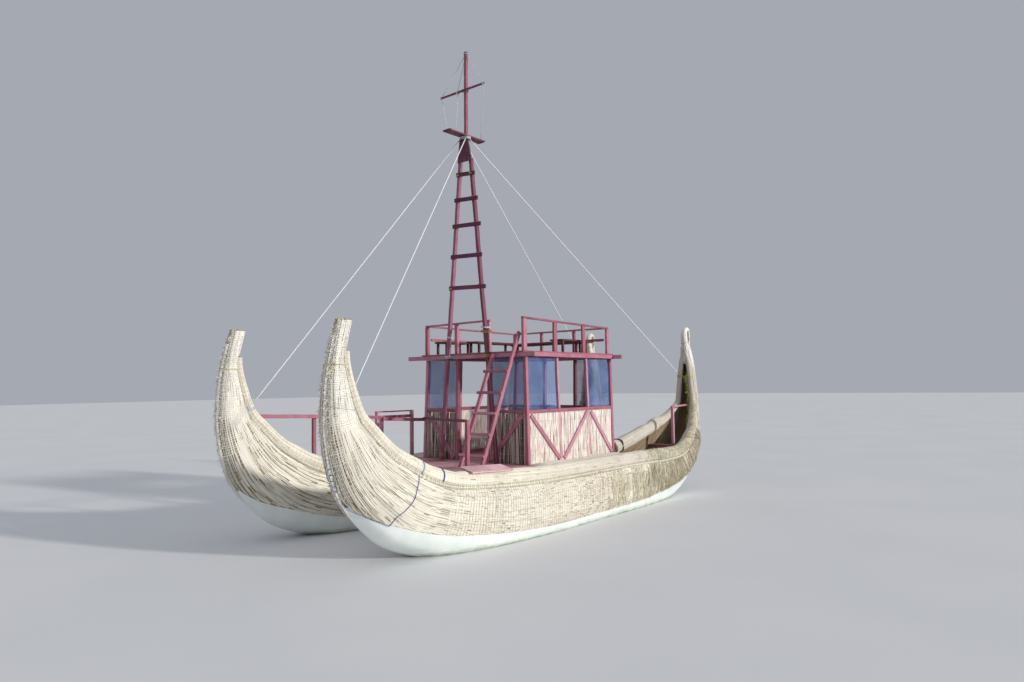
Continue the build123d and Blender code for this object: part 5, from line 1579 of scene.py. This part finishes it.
bag = Bag()
for side, wall in ((1, "port"), (-1, "starboard")):
    lo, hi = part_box(f"{wall}_reed_panels")
    flo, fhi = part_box("cabin_floor_planks")
    y0 = (hi.y if side > 0 else -lo.y) + 0.030
    y1 = max(fhi.y, y0 + 0.05) + 0.012
    x0, x1, top = lo.x - 0.02, hi.x + 0.03, fhi.z
    r = np.random.default_rng(2700 + side)
    n, k = max(6, int((y1 - y0) / 0.011)), 24
    x = np.concatenate([x0 + 0.16 * np.linspace(0, 1, 6)[:-1], np.linspace(x0 + 0.16, x1 - 0.16, k - 10), x1 - 0.16 * np.linspace(1, 0, 6)[1:]])
    y = y0 + (y1 - y0) * ((np.arange(n) + 0.5) / n)[:, None] + waves(n, x, 0.006, 0.7, r)
    bulge = 0.030 + 0.006 * np.sin(x * 3.1) + 0.018 * np.sin(math.pi * ((np.arange(n) + 0.5) / n))[:, None]
    shut = 1 - smooth(x, x0, x0 + 0.16) * (1 - smooth(x, x1 - 0.16, x1))
    P = np.stack([np.broadcast_to(x, (n, k)), side * y, top + (bulge - 0.020) * (1 - shut) - 0.004 * shut + waves(n, x, 0.002, 0.4, r)], -1)
    N = np.broadcast_to(unit(np.array([0, 0.35 * side, 1.0])), P.shape)
    strands(bag, P, N, 0.0082 * (1 - 0.45 * shut), r.random((n, k - 1)) > 0.02, 0.45 + 0.45 * r.random(n), 0, OPEN, False, 0.9)
    P2 = P.copy()
    P2[..., 2] -= 0.012
    strands(bag, P2, N, 0.0095, None, 0.3 + 0.3 * r.random(n), 0, OPEN, False, 0.9)
place("wall_foot_reeds", bag, [M_ROLL], ())

bag = Bag()
for node, beams in (("front_deck_planks", "deck_beams"), ("cabin_floor_planks", "deck_beams"), ("roof_planks", "roof_beams"), ("port_step_plank", None)):
    r = np.random.default_rng(len(node))
    at = [] if beams is None else sorted({round(float(p[:, 0].mean()), 3) for p in solids(beams)})
    for pts in solids(node):
        c, e = box_axes(pts)
        L, A, B = (np.linalg.norm(v) for v in e)
        d, w, h = (unit(v) for v in e)
        h = h if h[2] > 0 else -h
        spots = [x - c[0] for x in at] if abs(d[0]) > 0.9 else [-0.8 * L, 0.8 * L]
        for sp in (spots if beams else [-0.86 * L, 0.02, 0.86 * L]):
            if abs(sp) > L - 0.015:
                continue
            for q in (-0.55, 0.55):
                p = c + d * (sp + 0.008 * r.standard_normal()) * (1 if d[0] > 0 or abs(d[0]) < 0.9 else -1) + w * (q * A + 0.004 * r.standard_normal()) + h * (B + 0.0022)
                th = 2 * math.pi * np.arange(6) / 6
                ring = p + 0.0052 * (np.cos(th)[:, None] * d + np.sin(th)[:, None] * w)
                V = np.vstack([ring - h * 0.004, ring * 1.0, (p + h * 0.0012)[None]])
                f = grid_faces(2, 6, True)
                tri = [[12, 6 + i, 6 + (i + 1) % 6] for i in range(6)]
                low = [[0, i + 1, i] for i in range(1, 5)]
                if np.cross(d, w) @ h < 0:
                    f, tri, low = f[:, ::-1], [t[::-1] for t in tri], [t[::-1] for t in low]
                bag.add(V, f, tri + low, 0, r.random())
place("nail_heads", bag, [M_NAIL], ())

# ======================================================================================= rigging and lashings
bag = Bag()
STAY = [(-75, 4866, -1208, 2282), (75, 4866, 1208, 2282), (-75, -4880, -1246, 2732), (75, -4880, 1246, 2732)]
for i, (y, x, y1, z) in enumerate(STAY):
    x0 = 1128 + (75 if x > 0 else -45)
    p, q = W(x0 / 1000, y / 1000, 7.240), W(x / 1000, y1 / 1000, z / 1000)
    rope(bag, [p, q], 0.0098, 0, step=0.25, sides=8)
place("main_stay_lines", bag, [M_STAY], ["main_stays"])

bag = Bag()   # 0 white, 1 blue, 2 yellow, 3 orange, 4 pale blue, 5 dark, 6 stitch, 7 painted over
CORDS = [M_WHITE, M_BLUE, M_YELLOW, M_ORANGE, M_PALEBLUE, M_DARK, M_STITCH, M_PAINTED]
top, yl, yr = W(1.128, 0.03, 8.93), W(1.186, -0.585, 8.19), W(1.186, 0.53, 8.195)
pf, pa = W(1.60, -0.02, 7.33), W(0.66, -0.03, 7.33)
for p, q in ((top, yl), (top, yr), (yl, pf), (yr, pa), (top, W(1.186, -0.14, 8.215)), (W(1.186, -0.14, 8.165), W(1.30, -0.09, 7.335))):
    rope(bag, [p, q], 0.0060, 0, step=0.25, sides=5)
for p, ax, rr in ((yl, (0, 1, 0), 0.027), (yr, (0, 1, 0), 0.027), (W(1.186, -0.14, 8.19), (0, 1, 0), 0.027)):
    coil(bag, p, ax, (0, 0, 1), rr, rr, 4, 0.004, 0, seed=3, per=14)
coil(bag, W(1.128, 0.03, 8.92), (0, 0, 1), (1, 0, 0), 0.036, 0.036, 3, 0.004, 4, seed=4, per=16)
coil(bag, W(1.150, 0.022, 8.19), (0.3, 0.5, 1), (1, 0, 0), 0.064, 0.040, 4, 0.005, 7, seed=5, per=18)
coil(bag, W(1.150, 0.012, 7.262), (0, 0, 1), (1, 0, 0), 0.066, 0.106, 3, 0.007, 0, seed=6, per=24)
for (x, y) in ((1.60, -0.02), (0.66, -0.03)):
    coil(bag, W(x, y, 7.315), (1, 0, 0), (0, 0, 1), 0.018, 0.100, 3, 0.004, 7, seed=7, per=22)
RUNG = [(6560, -205, 276), (6072, -262, 346), (5570, -318, 416), (4982, -372, 440), (4378, -428, 525)]


def leg_y(side, z):
    foot, neck = (-0.722, -0.135) if side < 0 else (0.702, 0.135)
    t = (z - 1.095) / (6.850 - 1.095)
    return foot + (neck - foot) * t


for i, (z, y0, y1) in enumerate(RUNG):
    z /= 1000
    for side in (-1, 1):
        y = leg_y(side, z)
        coil(bag, W(1.146, y, z), (0, 0.35 * side, 1), (1, 0, 0), 0.054, 0.040, 4, 0.0045, 2 if i == 0 or (i == 4 and side < 0) else 7, seed=i * 2 + side, per=18)
        if i in (1, 2, 3):
            coil(bag, W(1.146, y, z), (0, -0.9 * side, 1), (1, 0, 0), 0.054, 0.044, 2, 0.0045, 7, seed=i * 3 + side, per=18)
# Mast legs lashed at the roof beam, the roof rail and the deck.
for side in (-1, 1):
    y = leg_y(side, 3.07)
    coil(bag, W(1.090, y, 3.07), (0, 0.1 * side, 1), (1, 0, 0), 0.100, 0.046, 5, 0.0055, 3 if side > 0 else 0, seed=31 + side, per=22)
    y = leg_y(side, 3.52)
    if side > 0:
        coil(bag, W(1.10, y - 0.02, 3.52), (0, 0.1, 1), (1, 0, 0), 0.080, 0.070, 4, 0.0055, 3, seed=35, per=22)
        coil(bag, W(1.10, y - 0.02, 3.60), (0, 0.1, 1), (1, 0, 0), 0.080, 0.075, 3, 0.005, 0, seed=36, per=22)
    else:
        coil(bag, W(1.128, y, 3.45), (0, 0.1, 1), (1, 0, 0), 0.042, 0.037, 4, 0.005, 0, seed=37, per=18)
y = leg_y(-1, 1.25)
coil(bag, W(1.128, leg_y(-1, 1.20), 1.20), (0, 0.1, 1), (1, 0, 0), 0.042, 0.037, 5, 0.0055, 3, seed=38, per=18)
place("mast_lashings", bag, CORDS, ())


def side_cord(bag, hull, side, way, radius, mat, lift=0.013):
    """A taut cord lying on a side of a hull, through points given as station and share of the side's height."""
    way = np.asarray(way, float)
    c = curve_points(np.column_stack([way, np.zeros(len(way))]), 0.03)
    U, v = np.clip(c[:, 0], 0.01, 24.9), np.clip(c[:, 1], 0, 1)
    S = station(U)
    top, _ = top_of(S, U, side)
    P, N = side_shape(U, np.maximum(v * top, 0.003), hull, side, seed=40 + int(hull))
    rope(bag, P + N * (lift + radius), radius, mat, raw=True, sides=6)


def roll_cord(bag, hull, side, u, th0, th1, radius, mat, turns=1, pitch=0.012, lean=0.0):
    """Turns of cord lying round a gunwale roll, between two angles from its top."""
    for i in range(turns):
        th = np.linspace(th0, th1, 26)
        a = a_at(u) + pitch * (i - (turns - 1) / 2) + lean * (th - th.mean())
        U = u_at(a)
        S = station(U)
        R = S["roll"] + 0.010 + radius
        s = (S["out"] if side > 0 else S["inn"]) + R * np.cos(th)
        P = np.stack([S["x"] + s * np.cos(S["deg"]) + SHIFT, hull * (HULL_Y + side * (S["grip"] + R * np.sin(th))), S["z"] + s * np.sin(S["deg"]) + DRAFT], -1)
        rope(bag, P, radius, mat, raw=True, sides=6)


bag = Bag()
for hull in (1, -1):
    # near the top of the stem: a yellow-green cord and a thin white one, drawn round the front
    for u, mat, rad in ((1.35, 6, 0.0056),):
        for side in (1, -1):
            side_cord(bag, hull, side, [(u - 0.02, 0.0), (u, 0.3), (u + 0.01, 0.65), (u + 0.02, 1.0)], rad, mat)
    if hull > 0:
        for side in (1, -1):
            side_cord(bag, hull, side, [(2.40, 0.0), (2.50, 0.12), (2.60, 0.36), (2.72, 0.8), (2.76, 1.0)], 0.0036, 0)
        # blue line: wound on the stem, along the top of the float, and up across the side to the roll
        for i in range(5):
            u = 4.30 + 0.16 * i
            for side in (1, -1):
                side_cord(bag, hull, side, [(u, 0.0), (u + 0.02, 0.015), (u + 0.03 * side, 0.032)], 0.0052, 1)
        side_cord(bag, hull, 1, [(4.98, 0.012), (5.6, 0.014), (6.35, 0.05), (7.0, 0.13), (7.53, 0.20)], 0.0030, 1, 0.012)
        side_cord(bag, hull, 1, [(7.53, 0.20), (7.53, 0.34), (7.60, 0.44), (7.65, 0.54), (7.70, 0.67), (7.66, 0.80), (7.62, 0.90), (7.60, 1.0)], 0.0046, 1)
        roll_cord(bag, hull, 1, 8.50, -1.9, 1.95, 0.0052, 1, 2, 0.011, 0.02)
        roll_cord(bag, hull, 1, 7.58, -1.7, 2.1, 0.0048, 4, 2, 0.012, 0.02)
    # reed rope wound round the roll where a new bundle is laid in, and the knots that hold the stay at the stern
    roll_cord(bag, hull, 1, float(u_at(a_of_x(-2.72))), -1.8, 2.1, 0.0085, 7, 4, 0.020, 0.03)
    roll_cord(bag, hull, -1, 23.33, -3.0, 3.1, 0.0060, 6, 4, 0.013)
    roll_cord(bag, hull, -1, 2.86, -3.0, 3.1, 0.0060, 0, 4, 0.013)
    roll_cord(bag, hull, 1, 23.30, -3.0, 3.1, 0.0060, 6, 3, 0.013)
    S = station(np.array([23.32]))
    zc = float(S["z"][0]) + DRAFT
    xc = float(S["x"][0] + S["out"][0]) + SHIFT
    g = float(S["grip"][0])
    for dz in (0.0, 0.022, -0.024):
        rope(bag, [(xc, hull * (HULL_Y - g), zc + dz), (xc - 0.01, hull * HULL_Y, zc - 0.6 * dz), (xc, hull * (HULL_Y + g), zc - dz)], 0.0078, 6, step=0.03)
CORDS_HULL = [M_WHITE, M_BLUE, M_YELLOW, M_ORANGE, M_PALEBLUE, M_DARK, M_KNOT, M_TUFT]
place("hull_lashings", bag, CORDS_HULL, ())

# Moss and green reed stubs growing on the inner side of the outboard roll in the stern.
bag = Bag()
for hull in (1, -1):
    r = np.random.default_rng(3300 + hull)
    n = 760
    clump = 20.3 + 3.2 * r.random(34)
    U = np.clip(clump[r.integers(0, 34, n)] + 0.055 * r.standard_normal(n), 20.2, 23.6)
    S = station(U)
    th = -0.55 - 1.35 * r.random(n)
    R = S["roll"] + 0.006
    s = S["out"] + R * np.cos(th)
    P0 = np.stack([S["x"] + s * np.cos(S["deg"]) + SHIFT, hull * (HULL_Y + S["grip"] + R * np.sin(th)), S["z"] + s * np.sin(S["deg"]) + DRAFT], -1)
    D = unit(np.stack([0.25 + 0.25 * r.standard_normal(n), hull * (-0.30 + 0.2 * r.standard_normal(n)), -0.9 + 0.3 * r.standard_normal(n)], -1))
    whiskers(bag, P0, D, 0.03 + 0.09 * r.random(n) ** 1.5, 0.0060, 0, 3400 + hull, 0.3, 0.2, 4)
place("stern_moss_tufts", bag, [M_MOSS], ())

# ======================================================================================= camera, light, stage
cam_data = bpy.data.cameras.new("camera")
cam = bpy.data.objects.new("camera", cam_data)
bpy.context.scene.collection.objects.link(cam)
yaw, pitch, roll = math.radians(220.1394), math.radians(3.2912), math.radians(-0.7426)
fwd = Vector((math.cos(yaw) * math.cos(pitch), math.sin(yaw) * math.cos(pitch), math.sin(pitch)))
right = Vector((math.sin(yaw), -math.cos(yaw), 0))
up = right.cross(fwd)
c, s = math.cos(roll), math.sin(roll)
r2, u2 = c * right + s * up, -s * right + c * up
cam.matrix_world = Matrix(((r2.x, u2.x, -fwd.x, 11.3851 + SHIFT), (r2.y, u2.y, -fwd.y, 9.7536), (r2.z, u2.z, -fwd.z, 2.5383 + DRAFT), (0, 0, 0, 1)))
cam_data.sensor_width = 36.0
cam_data.sensor_fit = "HORIZONTAL"
cam_data.lens = 746.69 * 36.0 / 1024
cam_data.clip_start, cam_data.clip_end = 0.05, 500
bpy.context.scene.camera = cam

world = bpy.data.worlds.new("studio")
world.use_nodes = True
world.node_tree.nodes["Background"].inputs[0].default_value = (0.86, 0.90, 1.0, 1)
world.node_tree.nodes["Background"].inputs[1].default_value = 0.44
bpy.context.scene.world = world
sc = bpy.context.scene
sc.view_settings.view_transform = "Standard"
sc.view_settings.look = "None"


def sun(name, direction, energy, angle, colour):
    d = bpy.data.lights.new(name, "SUN")
    d.energy, d.angle, d.color = energy, math.radians(angle), colour
    o = bpy.data.objects.new(name, d)
    sc.collection.objects.link(o)
    o.rotation_mode = "QUATERNION"
    o.rotation_quaternion = Vector(direction).to_track_quat("Z", "Y")
    return o


sun("key", (-0.22, 0.93, 0.235), 2.85, 3, (1.0, 0.97, 0.92))
sun("fill", (0.2, 0.3, 1.0), 0.35, 60, (0.92, 0.95, 1.0))

t = Tree("stage_floor")
fn = t.noise(t.place(), 0.35, 2.0)
t.set(Base_Color=t.mix(t.span(fn, 0.3, 0.7), (0.70, 0.71, 0.72), (0.74, 0.745, 0.75)), Roughness=0.75)
me = bpy.data.meshes.new("stage_floor")
E = 140.0
me.from_pydata([(-E, -E, WATER), (E, -E, WATER), (E, E, WATER), (-E, E, WATER)], [], [(0, 1, 2, 3)])
me.materials.append(t.m)
floor = bpy.data.objects.new("stage_floor", me)
sc.collection.objects.link(floor)
